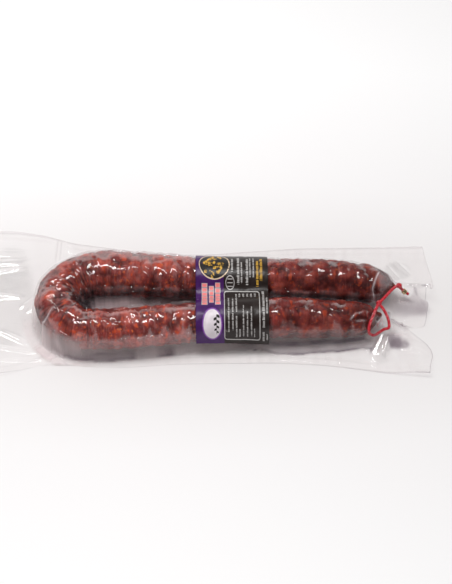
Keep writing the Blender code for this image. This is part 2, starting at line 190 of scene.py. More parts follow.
# The label: its place, how it wraps round the legs, how far it hangs down in front, and its print
LABEL_LEFT = -4.4 * MM
LABEL_RIGHT = 53 * MM
LABEL_SKEW = 1.2 * MM
LABEL_CLEARANCE = 0.65 * MM
LABEL_REAR_ANGLE = math.radians(-8)
LABEL_VALLEY_ANGLE = math.radians(48)
LABEL_TANGENT_ANGLE = math.radians(20)
LABEL_TAIL_LEFT = 8.0 * MM
LABEL_TAIL_RIGHT = 13.0 * MM
LABEL_THICKNESS = 0.18 * MM
LABEL_GRID = (117, 200)
INK_STEP = 0.03 * MM
PURPLE_SHARE = 0.385
PALER = 1.24
PRINT_ROUGHNESS = 0.24

# The tie string
STRING_RADIUS = 1.05 * MM
STRING_GAP = 0.2 * MM
STRANDS = 3
STRAND_PITCH = 4.2 * MM
STRAND_RADIUS = 0.64 * MM
STRAND_OFFSET = 0.62 * MM
KNOT_STRING_RADIUS = 0.75 * MM
TUBE_SIDES = 8
# The clip's section: radius and place along the string, in millimetres
CLIP_PROFILE = (
    (1.25, -1.5), (1.9, -1.7), (2.15, -1.4), (1.95, -0.5), (2.2, 0), (1.95, 0.5), (2.15, 1.4), (1.9, 1.7),
    (1.25, 1.5),
)
CLIP_SIDES = 28
# The string's run, as x, y and z in millimetres: from the cut end to the knot, and round the loop
STRING_TAIL = (
    (166.8, 10, 9.8), (163.4, 11.6, 11.2), (160.4, 13.2, 13.6), (157.6, 13.2, 17.2), (153.6, 8.8, 19.6),
    (148.8, 3.2, 19.8), (144.4, -2, 19.8), (141.4, -5.4, 20.2),
)
STRING_LOOP = (
    (141.2, -5.8, 20.2), (138.6, -13, 24.2), (135.3, -21.5, 25.5), (132.6, -26.4, 23), (131.9, -28.4, 18),
    (133.8, -29, 11.5), (137.4, -28.4, 8.4), (141.4, -25.6, 8.4), (145.6, -22.8, 8.6), (149.2, -21.4, 8.4),
    (149.4, -18, 10.6), (147.8, -14.4, 14.6), (145, -10.4, 18),
)


def to_metres(rows):
    return np.array(rows, float) * MM


def read_rows(rows, place):
    """The second column of a table, read at places in its first column."""
    rows = np.array(rows, float)
    return np.interp(place, rows[:, 0], rows[:, 1])


def lengths_along(points):
    """How far along its path each point lies."""
    return np.concatenate([[0], np.cumsum(np.linalg.norm(np.diff(points, axis=0), axis=1))])


def hash_unit(cells, seed):
    """A repeatable number in 0..1 for each row of whole numbers."""
    mixed = cells[..., 0] * 73856093 ^ cells[..., 1] * 19349663 ^ cells[..., 2] * 83492791
    mixed = mixed ^ (seed * 2654435761 & 0x7FFFFFFF)
    mixed = (mixed ^ (mixed >> 13)) * 1274126177 & 0x7FFFFFFF
    mixed = (mixed ^ (mixed >> 11)) * 668265263 & 0x7FFFFFFF
    return ((mixed ^ (mixed >> 15)) & 0xFFFF) / 65535.0


def value_noise(points, seed):
    """Smooth noise in -1..1 at each row of points."""
    base = np.floor(points).astype(np.int64)
    part = points - base
    ease = part**3 * (part * (part * 6 - 15) + 10)
    total = np.zeros(len(points))
    for corner in itertools.product((0, 1), repeat=3):
        picked = np.where(np.array(corner) == 1, ease, 1 - ease)
        total += picked.prod(axis=1) * (2 * hash_unit(base + np.array(corner), seed) - 1)
    return total


def layered_noise(points, size, seed, layers=2):
    """Noise with finer and fainter layers, about -1..1."""
    total = np.zeros(len(points))
    for layer in range(layers):
        total += value_noise(points / size * 2**layer + 7.3 * layer, seed + layer) / 2**layer
    return total / (2 - 0.5 ** (layers - 1))


def lump_depth(points, size, seed):
    """How deep the skin sinks from the middle of each lump to its edge: 0 to 1."""
    scaled = points / size
    base = np.floor(scaled).astype(np.int64)
    nearest = np.full(len(points), 9.0)
    for offset in itertools.product((-1, 0, 1), repeat=3):
        cell = base + np.array(offset)
        shift = np.column_stack([hash_unit(cell, seed + axis) for axis in range(3)]) - 0.5
        centre = cell + 0.5 + 0.8 * shift
        nearest = np.minimum(nearest, np.linalg.norm(scaled - centre, axis=1))
    return np.minimum(LUMP_STEEPNESS * nearest**2, 1)


def ease_between(low, high, value):
    share = np.clip((value - low) / (high - low), 0, 1)
    return share * share * (3 - 2 * share)


def smooth_path(points, step):
    """A Catmull-Rom curve through the points, read at about every step of its length."""
    points = np.asarray(points, float)
    padded = np.vstack([2 * points[0] - points[1], points, 2 * points[-1] - points[-2]])
    fine = []
    for before, start, end, after in zip(padded, padded[1:], padded[2:], padded[3:]):
        for t in np.linspace(0, 1, 24, endpoint=False):
            curve = 2 * start + (end - before) * t
            curve = curve + (2 * before - 5 * start + 4 * end - after) * t**2
            curve = curve + (3 * start - before - 3 * end + after) * t**3
            fine.append(0.5 * curve)
    fine = np.array(fine + [points[-1]])
    along = lengths_along(fine)
    wanted = np.linspace(0, along[-1], max(2, round(along[-1] / step) + 1))
    return np.column_stack([np.interp(wanted, along, fine[:, i]) for i in range(fine.shape[1])])


def bend_rows(angles, leg_end, length):
    """Rows of one elliptical half of the bend, from a leg (angle 0) to the bend's tip (90 degrees)."""
    swing = np.sin(angles)
    return np.column_stack(
        [
            BEND_TIP_X + length * (1 - swing),
            BEND_TIP_Y + (leg_end[1] - BEND_TIP_Y) * np.cos(angles),
            leg_end[2] + (BEND_LINK_RADIUS - leg_end[2]) * swing,
        ]
    )


def link_route(step):
    """Rows of x, y and radius along the link, from the rear tip round the bend to the front tip."""
    rear, front = to_metres(REAR_LEG), to_metres(FRONT_LEG)
    into_bend = bend_rows(np.radians(np.arange(0, 76, 15)), rear[-1], REAR_BEND_LENGTH)
    out_of_bend = bend_rows(np.radians(np.arange(90, -1, -15)), front[0], FRONT_BEND_LENGTH)
    return smooth_path(np.vstack([rear, into_bend, out_of_bend, front]), step)


ROUTE = link_route(LINK_STEP)
ROUTE_HEIGHT = SEAT_HEIGHT + np.maximum(ROUTE[:, 2], END_AXIS_RADIUS)
ROUTE_ALONG = np.concatenate([[0], np.cumsum(np.hypot(*np.diff(ROUTE[:, :2], axis=0).T))])
TANGENT = np.gradient(ROUTE[:, :2], axis=0)
TANGENT /= np.linalg.norm(TANGENT, axis=1)[:, None]
SIDE = np.column_stack([-TANGENT[:, 1], TANGENT[:, 0]])


def bulge(x):
    """How far the skin and the film stand proud of the plain tube: nothing under the label."""
    covered = ease_between(LABEL_LEFT - 5 * MM, LABEL_LEFT - 1 * MM, x)
    covered = covered * ease_between(LABEL_RIGHT + 5 * MM, LABEL_RIGHT + 1 * MM, x)
    return BULGE * (1 - covered)


def relief(points, along, reach, angle, fine=True):
    """How deep the skin lies below the plain tube there."""
    straight = np.column_stack([along, reach * np.cos(angle), reach * np.sin(angle)])
    shifts = [value_noise(straight / WARP_SIZE, 80 + axis) for axis in range(3)]
    warped = straight + WARP_DEPTH * np.column_stack(shifts)
    warped[:, 0] *= LUMP_SQUEEZE
    depth = LUMP_DEPTH * lump_depth(warped, LUMP_SIZE, 3)
    depth = depth + SWELL_DEPTH * (0.5 + 0.5 * layered_noise(points, SWELL_SIZE, 11))
    bend = ease_between(-70 * MM, -100 * MM, points[:, 0])
    across = np.column_stack([along / WRINKLE_PITCH, angle * 1.3, 0.3 * along / LUMP_SIZE])
    ridge = 1 - np.abs(value_noise(across, 21)) * 1.6
    depth = depth + WRINKLE_DEPTH * np.clip(ridge, 0, 1) * (0.2 + 0.8 * bend)
    to_end = np.minimum(along, ROUTE_ALONG[-1] - along)
    fade = np.clip(1 - to_end / PLEAT_REACH, 0, 1)
    pleat = 0.5 + 0.5 * np.cos(PLEATS * angle + 1.4 * np.sin(to_end / (5 * MM)))
    depth = depth + PLEAT_DEPTH * fade * pleat
    if fine:
        depth = depth + NUB_DEPTH * lump_depth(warped, NUB_SIZE, 9)
        depth = depth + GRAIN_DEPTH * layered_noise(points, GRAIN_SIZE, 31)
    depth = depth - bulge(points[:, 0]) * ease_between(0, 0.9, to_end / PLEAT_REACH)
    return np.minimum(depth, 0.4 * reach)


def new_mesh(name, points, faces, smooth=True):
    mesh = bpy.data.meshes.new(name)
    mesh.from_pydata([tuple(p) for p in points], [], faces)
    mesh.update()
    if smooth:
        mesh.shade_smooth()
    return mesh


def grid_faces(rows, columns, wrap_rows=False, wrap_columns=False, start=0):
    """The quads of a grid of points whose rows follow each other."""
    faces = []
    for row in range(rows if wrap_rows else rows - 1):
        near, far = (start + line * columns for line in (row, (row + 1) % rows))
        for column in range(columns if wrap_columns else columns - 1):
            beside = (column + 1) % columns
            faces.append((near + column, near + beside, far + beside, far + column))
    return faces


def linked(name, data):
    """A new object in the scene."""
    made = bpy.data.objects.new(name, data)
    bpy.context.scene.collection.objects.link(made)
    return made


def new_piece(name, mesh, slot, *nodes):
    """A piece that rides on the one body and stands for the CAD nodes named; its slot is not used."""
    piece = linked(name, mesh)
    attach(piece, "root")
    if nodes:
        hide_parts(*nodes)
    return piece


def add_number(mesh, name, values):
    """A number for each point, which the material reads as an attribute."""
    layer = mesh.attributes.new(name, "FLOAT", "POINT")
    layer.data.foreach_set("value", np.asarray(values, np.float32))


def add_place(mesh, name, places):
    """A place for each point, which the material's textures follow."""
    layer = mesh.attributes.new(name, "FLOAT_VECTOR", "POINT")
    layer.data.foreach_set("vector", np.asarray(places, np.float32).ravel())


# Materials


class Nodes:
    """A short way to build a node tree: add a node, set its inputs and link them."""

    def __init__(self, name, world=False):
        self.owner = bpy.data.worlds.new(name) if world else bpy.data.materials.new(name)
        self.owner.use_nodes = True
        self.tree = self.owner.node_tree
        self.tree.nodes.clear()
        self.output = self.tree.nodes.new("ShaderNodeOutputWorld" if world else "ShaderNodeOutputMaterial")

    def add(self, kind, settings=None, **inputs):
        node = self.tree.nodes.new("ShaderNode" + kind)
        for key, value in (settings or {}).items():
            setattr(node, key, value)
        for key, value in inputs.items():
            self.put(node.inputs[int(key[1:]) if key[0] == "_" else key.replace("_", " ")], value)
        return node

    def put(self, socket, value):
        if isinstance(value, bpy.types.NodeSocket):
            self.tree.links.new(value, socket)
        elif isinstance(value, tuple) and len(value) == 3 and socket.type == "RGBA":
            socket.default_value = (*value, 1.0)
        else:
            socket.default_value = value

    def math(self, operation, first, second, clamp=False):
        return self.add("Math", {"operation": operation, "use_clamp": clamp}, _0=first, _1=second).outputs[0]

    def plus(self, first, second):
        return self.math("ADD", first, second)

    def times(self, first, second):
        return self.math("MULTIPLY", first, second)

    def attribute(self, name, output="Fac"):
        return self.add("Attribute", {"attribute_name": name}).outputs[output]

    def object_place(self):
        return self.add("TexCoord").outputs["Object"]

    def noise(self, place, scale, detail=4.0, roughness=0.55):
        node = self.add("TexNoise", Vector=place, Scale=scale, Detail=detail, Roughness=roughness)
        return node.outputs["Fac"]

    def ramp(self, value, *stops):
        node = self.add("ValToRGB", Fac=value)
        elements = node.color_ramp.elements
        while len(elements) < len(stops):
            elements.new(0.5)
        for element, (place, color) in zip(elements, stops):
            element.position = place
            element.color = (*color, 1.0)
        return node.outputs["Color"]

    def rise(self, value, low, high):
        """Black where the value is low, white where it is high."""
        return self.ramp(value, (low, (0, 0, 0)), (high, (1, 1, 1)))

    def stretched(self, place, scale, shift=(0.0, 0.0, 0.0)):
        """A place scaled along each axis and shifted, for a texture that runs one way."""
        return self.add("Mapping", Vector=place, Scale=scale, Location=shift).outputs[0]

    def mix(self, share, first, second, blend="MIX"):
        node = self.add("Mix", {"data_type": "RGBA", "blend_type": blend})
        self.put(node.inputs[0], share)
        self.put(node.inputs[6], first)
        self.put(node.inputs[7], second)
        return node.outputs[2]

    def bump(self, height, strength, distance):
        return self.add("Bump", Strength=strength, Distance=distance, Height=height).outputs["Normal"]

    def finish(self, shader):
        self.tree.links.new(shader, self.output.inputs["Surface"])
        return self.owner


def skin_material():
    """Dark cured meat under a thin casing: maroon ground, orange-red and greyish patches, radial wrinkles;
    painted shade in the wrinkles, in the creases and towards the right end, and painted highlights on the
    wrinkles.
    """
    n = Nodes("cured_skin")
    place = n.object_place()
    unrolled = n.attribute("unrolled", "Vector")
    bend = n.attribute("bend")

    ground = n.noise(place, 75.0, 5.0, 0.65)
    maroon, brick, rust = (0.08, 0.012, 0.012), (0.265, 0.036, 0.03), (0.52, 0.094, 0.062)
    color = n.ramp(ground, (0.32, maroon), (0.5, brick), (0.68, rust))
    patches = n.rise(n.noise(n.stretched(unrolled, (230.0, 130.0, 130.0)), 1.0, 4.0, 0.6), 0.55, 0.64)
    color = n.mix(n.times(patches, 0.8), color, (0.64, 0.072, 0.016))
    embers = n.rise(n.noise(place, 330.0, 3.0, 0.55), 0.62, 0.7)
    color = n.mix(n.times(embers, 0.7), color, (0.82, 0.17, 0.035))
    dusty = n.noise(n.stretched(unrolled, (300.0, 90.0, 90.0), (3.0, 1.0, 2.0)), 1.0, 4.0, 0.6)
    # the greyish patches thin out under the painted shade towards the right end
    dusty_share = n.math("SUBTRACT", 0.55, n.times(n.attribute("dark_end"), 0.4))
    color = n.mix(n.times(n.rise(dusty, 0.5, 0.66), dusty_share), color, (0.36, 0.15, 0.14))

    lines = n.noise(n.stretched(unrolled, (720.0, 60.0, 60.0)), 1.0, 3.0, 0.6)
    # painted shade: dark lines in the fine wrinkles, strongest on the bend
    painted_wrinkle_shade = n.ramp(lines, (0.36, (1, 1, 1)), (0.5, (0, 0, 0)))
    wrinkle_shade_share = n.times(painted_wrinkle_shade, n.plus(n.times(bend, 0.55), 0.16))
    color = n.mix(wrinkle_shade_share, color, (0.04, 0.01, 0.012))
    # painted highlights: paler lines on the wrinkles
    color = n.mix(n.times(n.rise(lines, 0.56, 0.68), 0.2), color, (0.6, 0.24, 0.2))

    # painted shade: the skin darkens towards its right end, where the legs lie close
    color = n.mix(n.times(n.attribute("dark_end"), 0.44), color, (0.03, 0.006, 0.007))
    # painted shade: the skin darkens where its relief sinks deepest, in the creases between lumps
    painted_crease_shade = n.ramp(n.attribute("depth"), (0.3, (1, 1, 1)), (1.0, (0.36, 0.26, 0.26)))
    color = n.mix(1.0, color, painted_crease_shade, "MULTIPLY")
    rough = n.plus(n.times(n.noise(place, 160.0), 0.3), 0.28)
    normal = n.bump(n.plus(n.noise(place, 520.0), n.times(lines, 1.2)), 0.3, 0.0006)
    shader = n.add("BsdfPrincipled", Base_Color=color, Roughness=rough, Normal=normal, IOR=1.42)
    shader.inputs["Specular IOR Level"].default_value = 0.25
    shader.inputs["Subsurface Weight"].default_value = 0.05
    shader.inputs["Subsurface Radius"].default_value = (0.003, 0.0008, 0.0005)
    return n.finish(shader.outputs[0])


def film_material():
    """Clear film: what is behind it shows, under a faint milky veil with painted sheen, painted shade and
    sharp reflections.
    """
    n = Nodes("clear_film")
    shade = n.attribute("shade")
    crinkle = n.noise(n.stretched(n.attribute("drawn", "Vector"), (300.0, 80.0, 80.0)), 1.0, 3.0, 0.5)
    normal = n.bump(crinkle, 0.4, 0.0006)
    # painted shade: where the shade attribute is high the film lets less through and its veil is darker, for
    # the shadow behind it
    seen_through = n.mix(shade, (1.0, 0.998, 0.998), (0.21, 0.155, 0.21))
    clear = n.add("BsdfTransparent", Color=seen_through).outputs[0]
    veil_color = n.mix(shade, (0.85, 0.72, 0.73), (0.24, 0.17, 0.22))
    veil = n.add("BsdfDiffuse", Color=veil_color, Normal=normal).outputs[0]
    # the veil's share is the milky haze together with painted sheen
    share = n.math("MULTIPLY", n.attribute("haze"), n.plus(n.times(crinkle, 0.8), 0.6), clamp=True)
    body = n.add("MixShader", _0=share, _1=clear, _2=veil).outputs[0]
    gloss = n.add("BsdfGlossy", Color=(1.0, 1.0, 1.0), Roughness=0.07, Normal=normal).outputs[0]
    single = n.add("Fresnel", IOR=1.48, Normal=normal).outputs[0]
    # a film has two faces, so it reflects 2F / (1 + F)
    double = n.math("DIVIDE", n.times(single, 2.0), n.plus(single, 1.0))
    shine = n.times(n.math("MINIMUM", double, 0.24), n.attribute("gloss"))
    return n.finish(n.add("MixShader", _0=shine, _1=body, _2=gloss).outputs[0])


def print_material(name, color):
    """Ink on a glossy label, with faint creases and slightly uneven ink."""
    n = Nodes(name)
    place = n.object_place()
    paler = tuple(min(1.0, channel * PALER + 0.008) for channel in color)
    shade = n.mix(n.rise(n.noise(place, 140.0), 0.35, 0.7), color, paler)
    rough = n.plus(n.times(n.noise(place, 60.0), 0.2), PRINT_ROUGHNESS)
    normal = n.bump(n.noise(place, 75.0, 5.0, 0.6), 0.28, 0.0012)
    shader = n.add("BsdfPrincipled", Base_Color=shade, Roughness=rough, Normal=normal, IOR=1.42)
    return n.finish(shader.outputs[0])


def string_material():
    n = Nodes("red_twine")
    place = n.object_place()
    fleck = n.rise(n.noise(place, 520.0, 3.0), 0.54, 0.66)
    tone = n.mix(n.noise(place, 420.0, 2.0), (0.34, 0.003, 0.012), (0.8, 0.014, 0.036))
    color = n.mix(n.times(fleck, 0.55), tone, (0.9, 0.3, 0.32))
    normal = n.bump(n.noise(place, 2600.0, 2.0), 0.6, 0.0003)
    shader = n.add("BsdfPrincipled", Base_Color=color, Roughness=0.62, Normal=normal)
    return n.finish(shader.outputs[0])


def clip_material():
    n = Nodes("clip_metal")
    marks = n.noise(n.object_place(), 900.0)
    color = n.mix(n.rise(marks, 0.4, 0.6), (0.42, 0.24, 0.06), (0.95, 0.78, 0.42))
    rough = n.plus(n.times(marks, 0.3), 0.15)
    shader = n.add("BsdfPrincipled", Base_Color=color, Roughness=rough, Metallic=1.0)
    return n.finish(shader.outputs[0])


# The sausage


def make_link():
    """The link: a fine tube with the skin's relief, closed at both tied tips."""
    count = len(ROUTE)
    angles = np.linspace(0, 2 * math.pi, LINK_SIDES, endpoint=False)
    index = np.repeat(np.arange(count), LINK_SIDES)
    angle = np.tile(angles, count)
    centre = np.column_stack([ROUTE[index, 0], ROUTE[index, 1], ROUTE_HEIGHT[index]])
    spoke = np.column_stack([SIDE[index] * np.cos(angle)[:, None], np.sin(angle)])
    plain = centre + spoke * ROUTE[index, 2][:, None]
    depth = relief(plain, ROUTE_ALONG[index], ROUTE[index, 2], angle)
    points = plain - spoke * depth[:, None]
    points[:, 2] = np.maximum(points[:, 2], SEAT_HEIGHT - 0.6 * MM)
    faces = grid_faces(count, LINK_SIDES, wrap_columns=True)
    tips = [centre[0] + [0.9 * MM, 0, 0], centre[-1] + [0.9 * MM, 0, 0]]
    total = len(points)
    last = total - LINK_SIDES
    for side in range(LINK_SIDES):
        beside = (side + 1) % LINK_SIDES
        faces.append((total, beside, side))
        faces.append((total + 1, last + side, last + beside))
    mesh = new_mesh("link", np.vstack([points, tips]), faces)
    bend = ease_between(-62 * MM, -98 * MM, plain[:, 0])
    add_number(mesh, "bend", np.append(bend, [0, 0]))
    around = ROUTE[index, 2] * (angle - math.pi)
    unrolled = np.column_stack([ROUTE_ALONG[index], np.abs(around), np.sin(angle) * ROUTE[index, 2]])
    add_place(mesh, "unrolled", np.vstack([unrolled, unrolled[:1], unrolled[-1:]]))
    # how deep the relief sinks, read by the skin's painted crease shade
    add_number(mesh, "depth", np.append(np.clip(depth / (2.0 * MM), 0, 1), [1, 1]))
    # painted shade for the skin, growing towards the right end
    dark_end = ease_between(30 * MM, 90 * MM, plain[:, 0])
    add_number(mesh, "dark_end", np.append(dark_end, [1, 1]))
    mesh.materials.append(skin_material())
    return new_piece("link", mesh, "skin", "sausage")


# The film


def edge_line(points, x):
    """The y of a long edge of the bag, its corners rounded over a short stretch."""
    rows = to_metres(points)
    shifts = np.array([-1, -0.5, 0, 0.5, 1]) * 9 * MM
    return np.mean([read_rows(rows, x + shift) for shift in shifts], axis=0)


def right_end(y):
    return read_rows(to_metres(RIGHT_EDGE), y)


def left_end(y):
    return LEFT_END + END_WAVE * np.sin(y / (21 * MM))


def curl(x, y):
    past_left = np.clip((FLAT_LEFT - x) / CURL_REACH, 0, 1)
    past_right = np.clip((x - FLAT_RIGHT) / CURL_REACH, 0, 1)
    left = np.sin(past_left * math.pi / 2) ** 2
    right = np.sin(past_right * math.pi / 2) ** 2
    sway = 0.5 + 0.5 * np.sin(y / (13 * MM) + 0.6)
    return CURL_HEIGHT * sway * (0.6 * left + right)


def soft_max(first, second, fillet):
    return 0.5 * (first + second + np.sqrt((first - second) ** 2 + fillet**2))


class Places:
    """Places in plan: how far along the link each lies, its side and distance, and the link's size there."""

    def __init__(self, x, y):
        index = np.empty(len(x), int)
        for start in range(0, len(x), 4000):
            part = slice(start, start + 4000)
            far = np.hypot(x[part, None] - ROUTE[None, :, 0], y[part, None] - ROUTE[None, :, 1])
            index[part] = np.argmin(far - ROUTE[None, :, 2], axis=1)
        away = np.column_stack([x, y]) - ROUTE[index, :2]
        past = (away * TANGENT[index]).sum(axis=1)
        between = (index > 0) & (index < len(ROUTE) - 1)
        self.x, self.y = x, y
        self.plan = np.column_stack([x, y, np.zeros(len(x))])
        self.side = (away * SIDE[index]).sum(axis=1)
        self.far = np.where(between, np.abs(self.side), np.hypot(past, self.side))
        self.along = ROUTE_ALONG[index] + np.where(between, past, 0)
        self.radius = np.interp(self.along, ROUTE_ALONG, ROUTE[:, 2])
        self.height = np.interp(self.along, ROUTE_ALONG, ROUTE_HEIGHT)
        self.behind = y - ROUTE[index, 1]

    def noise(self, length, width, seed):
        """Noise with one size along the link and one away from it."""
        return value_noise(np.column_stack([self.along / length, self.far / width, self.far * 0]), seed)


# How steeply the film falls away from the string that it is drawn over
STRING_FALL = 3.0

# Ridges where the film tents from the tied ends to the bag's right end: two plan points with their heights,
# how steeply the film falls beside the ridge, and the width of the nearly level shelf on its left, in mm
TENT_RIDGES = (
    ((150, 14, 26), (158, 13.5, 19), 1.9, 0), ((158, 13.5, 19), (170, 9, 12.5), 1.25, 0),
    ((170, 9, 12.5), (183, 2, 8.5), 1, 0), ((140, -12, 20), (150, -19, 11), 1.6, 0),
    ((150, -19, 11), (172, -30, 3), 0.9, 0), ((143, -2, 22), (156, 10, 21), 2.2, 0),
    ((146, -26, 8), (137, -44, 2.2), 1.2, 3.2), ((149.6, -28.2, 7.3), (146.2, -37.7, 4.4), 1.3, 1.5),
    ((142.5, -42, 4.4), (139.5, -48, 2.4), 0.9, 2.4),
)
SHELF_FALL = 0.12

# Folds of the film: x and y of both ends, height and width, in millimetres
FOLDS = (
    (-114, -20, -127, -33, 1.6, 1), (-112, -38, -104, -45, 1.1, 1.2), (-135, 12, -146, 2, 1.6, 1.3),
    (-131, 6, -141, -2, 1.3, 1.1), (-182, 57, -146, 56, 1.6, 1.6), (-178, 44, -134, 51, 1.7, 1.5),
    (-180, 47, -148, 45, 1.4, 1.4), (-184, 33, -148, 41, 1.5, 1.5), (-184, 13, -145, 12, 1.2, 1.8),
    (-160, -20, -138, -32, 1.4, 1.8), (-165, -34, -132, -40, 1.3, 1.6), (-158, -48, -126, -46, 1.2, 1.6),
    (-116, 68, -106, 56, 1.8, 1.6), (-120, 72, -121, 48, 0.7, 0.8), (-117, 70, -118, 50, 0.7, 0.8),
    (139, -48, 146, -46, 1, 1.6), (141, 24, 136, 6, 1.1, 0.8), (152, 44, 160, 30, 1.2, 1.6),
    (160, 48, 170, 34, 1.2, 1.6), (162, 27, 172, 20, 1.4, 1.3), (160, -30, 178, -42, 1.4, 1.6),
    (158, -36, 176, -40, 1.1, 1.3), (60, -46, 110, -47, 0.8, 1.2), (84, -47, 140, -51, 0.8, 1.6),
)
SMALL_FOLDS = 90
SMALL_FOLD_SEED = 5

# Lines painted on the film along folds, milkier as painted highlights and darker as painted shade: x and y of
# both ends, width, then how much milkier and how much darker the film is there
LINES = (
    (-114, -20, -127, -33, 0.9, 0.45, 0), (-124, -22, -118, -33, 0.8, 0, 0.5),
    (-132, -46, -115, -39, 0.8, 0.05, 0.1), (-115, -39, -109, -45, 0.9, 0.3, 0.1),
    (-110, -47, -104, -53, 0.7, 0, 0.15), (-120, 74, -121, 47, 0.7, 0.09, 0.04),
    (-117, 74, -117.5, 49, 0.6, 0.08, 0.05), (147, -6, 165, -18, 0.9, 0.05, 0.5),
    (150, -8, 164, -19, 0.6, 0.25, 0), (167, 14.5, 175, 6, 0.9, 0, 0.5), (175, 6, 182, -2, 0.9, 0, 0.5),
    (176, 13, 182, 13, 0.7, 0, 0.5), (142.5, 20, 139, 11, 0.7, 0.6, 0), (139.3, 12, 136, 3, 0.8, 0.5, 0),
    (136, 4, 138.5, -3, 0.7, 0.35, 0), (117, -26, 122, -21, 0.7, 0.35, 0),
    (121.6, -21.2, 128, -19.5, 0.6, 0.3, 0), (121.5, -26.5, 130, -25, 0.6, 0.3, 0),
    (157, 5.5, 162, 3.6, 0.7, 0.3, 0), (162, 3.6, 167.5, 5.5, 0.7, 0.3, 0),
    (151, -26, 164, -26, 0.7, 0.3, 0),
)

# Patches of painted shade on the film, over shadow behind it, some also milkier: x, y, half width, half
# depth, then how milky and how dark
PATCHES = (
    (152, -30, 7, 7.5, 0.04, 0.62), (156.5, -30.8, 7, 7, 0.04, 0.58), (161, -31.8, 6.5, 5.5, 0.04, 0.42),
    (168, 1.5, 21, 11, 0.04, 0.32), (177, 0, 12, 8, 0.05, 0.36), (149.5, 14, 12, 14, 0.26, 0.15),
    (139.5, -22, 8, 8, 0.08, 0.5), (-91, -6, 15, 9, 0, 0.8), (-95, 4, 13, 11, 0, 0.3),
)

# Where the film is smooth and fully glossy: x, y, half width, half depth
SHINY = (
    (142, -37, 10, 12), (143, -47, 7, 4), (-158, 12, 26, 62), (160, 38, 14, 12),
)

# Painted shade on the film beside the link, over the shadow under it, by its height in millimetres: left and
# right of the label
SKIRT_LEFT = ((0, 0), (0.9, 0.7), (3, 0.8), (8, 0.65), (11, 0.75), (13.5, 0.2), (16, 0.05), (22, 0))
SKIRT_RIGHT = (
    (0, 0), (0.7, 1), (1.8, 0.5), (4, 0.25), (8, 0.3), (9.5, 0.95), (12.5, 0.9), (14.5, 0.2), (22, 0),
)
# Along the front skirt, that painted shade is less in some stretches: x in millimetres, share kept
SKIRT_SHADE_KEPT = ((-54, 1), (-50, 0.35), (-37, 0.25), (-32, 1), (-24, 0.95), (-19, 0.25), (10, 0.35), (40, 0.95))


def offsets_from_run(x, y, start, end):
    """For places in plan: the share of the way from start to end beside them, and how far off it they are."""
    run = end - start
    share = np.clip(((x - start[0]) * run[0] + (y - start[1]) * run[1]) / (run @ run), 0, 1)
    return share, x - start[0] - share * run[0], y - start[1] - share * run[1]


def near_run(x, y, start, end):
    share, off_x, off_y = offsets_from_run(x, y, start, end)
    return share, np.hypot(off_x, off_y)


def small_folds():
    """Short fine folds across the link, where the film is drawn tight."""
    draw = np.random.default_rng(SMALL_FOLD_SEED)
    made = []
    for _ in range(SMALL_FOLDS):
        place = draw.integers(20, len(ROUTE) - 20)
        aslant = draw.uniform(-0.9, 0.9)
        shift = draw.uniform(-0.75, 0.75) * ROUTE[place, 2]
        length = draw.uniform(4, 13) * MM
        middle = ROUTE[place, :2] + SIDE[place] * shift
        run = (SIDE[place] * math.cos(aslant) + TANGENT[place] * math.sin(aslant)) * length / 2
        start, end = middle - run, middle + run
        made.append((*(start / MM), *(end / MM), draw.uniform(0.25, 0.6), draw.uniform(0.55, 0.95)))
    return made


def fold_height(x, y):
    """What all the folds add to the film's height."""
    total = np.zeros(len(x))
    for x0, y0, x1, y1, height, width in (*FOLDS, *small_folds()):
        share, far = near_run(x, y, to_metres((x0, y0)), to_metres((x1, y1)))
        fade = np.sin((0.06 + 0.88 * share) * math.pi) ** 0.6
        total = total + height * MM * fade * np.exp(-((far / (width * MM)) ** 1.5))
    return total


def near_line(x, y, x0, y0, x1, y1, width):
    """1 on a line between two places in millimetres, falling to 0 beside it."""
    share, far = near_run(x, y, to_metres((x0, y0)), to_metres((x1, y1)))
    return np.sin((0.1 + 0.8 * share) * math.pi) * np.exp(-((far / (width * MM)) ** 2))


def in_oval(x, y, middle_x, middle_y, half_x, half_y):
    """How far out from the middle of an oval places lie: 1 on its edge. The oval is in millimetres."""
    return np.hypot((x / MM - middle_x) / half_x, (y / MM - middle_y) / half_y)


def clear_of_link(points):
    """Points moved straight out from the link's axis until the string clears the skin."""
    moved = []
    for point in points:
        nearest = int(np.argmin(np.hypot(ROUTE[:, 0] - point[0], ROUTE[:, 1] - point[1])))
        centre = np.array([ROUTE[nearest, 0], ROUTE[nearest, 1], ROUTE_HEIGHT[nearest]])
        spoke = point - centre
        least = ROUTE[nearest, 2] + STRING_RADIUS + STRING_GAP
        moved.append(centre + spoke * max(1.0, least / np.linalg.norm(spoke)))
    return np.array(moved)


TAIL_PATH = clear_of_link(smooth_path(to_metres(STRING_TAIL), 0.45 * MM))
LOOP_PATH = clear_of_link(smooth_path(to_metres(STRING_LOOP + STRING_LOOP[:1]), 0.45 * MM))
STRING_TOPS = np.vstack([TAIL_PATH, LOOP_PATH])[::2] + [0, 0, STRING_RADIUS + 0.6 * MM]


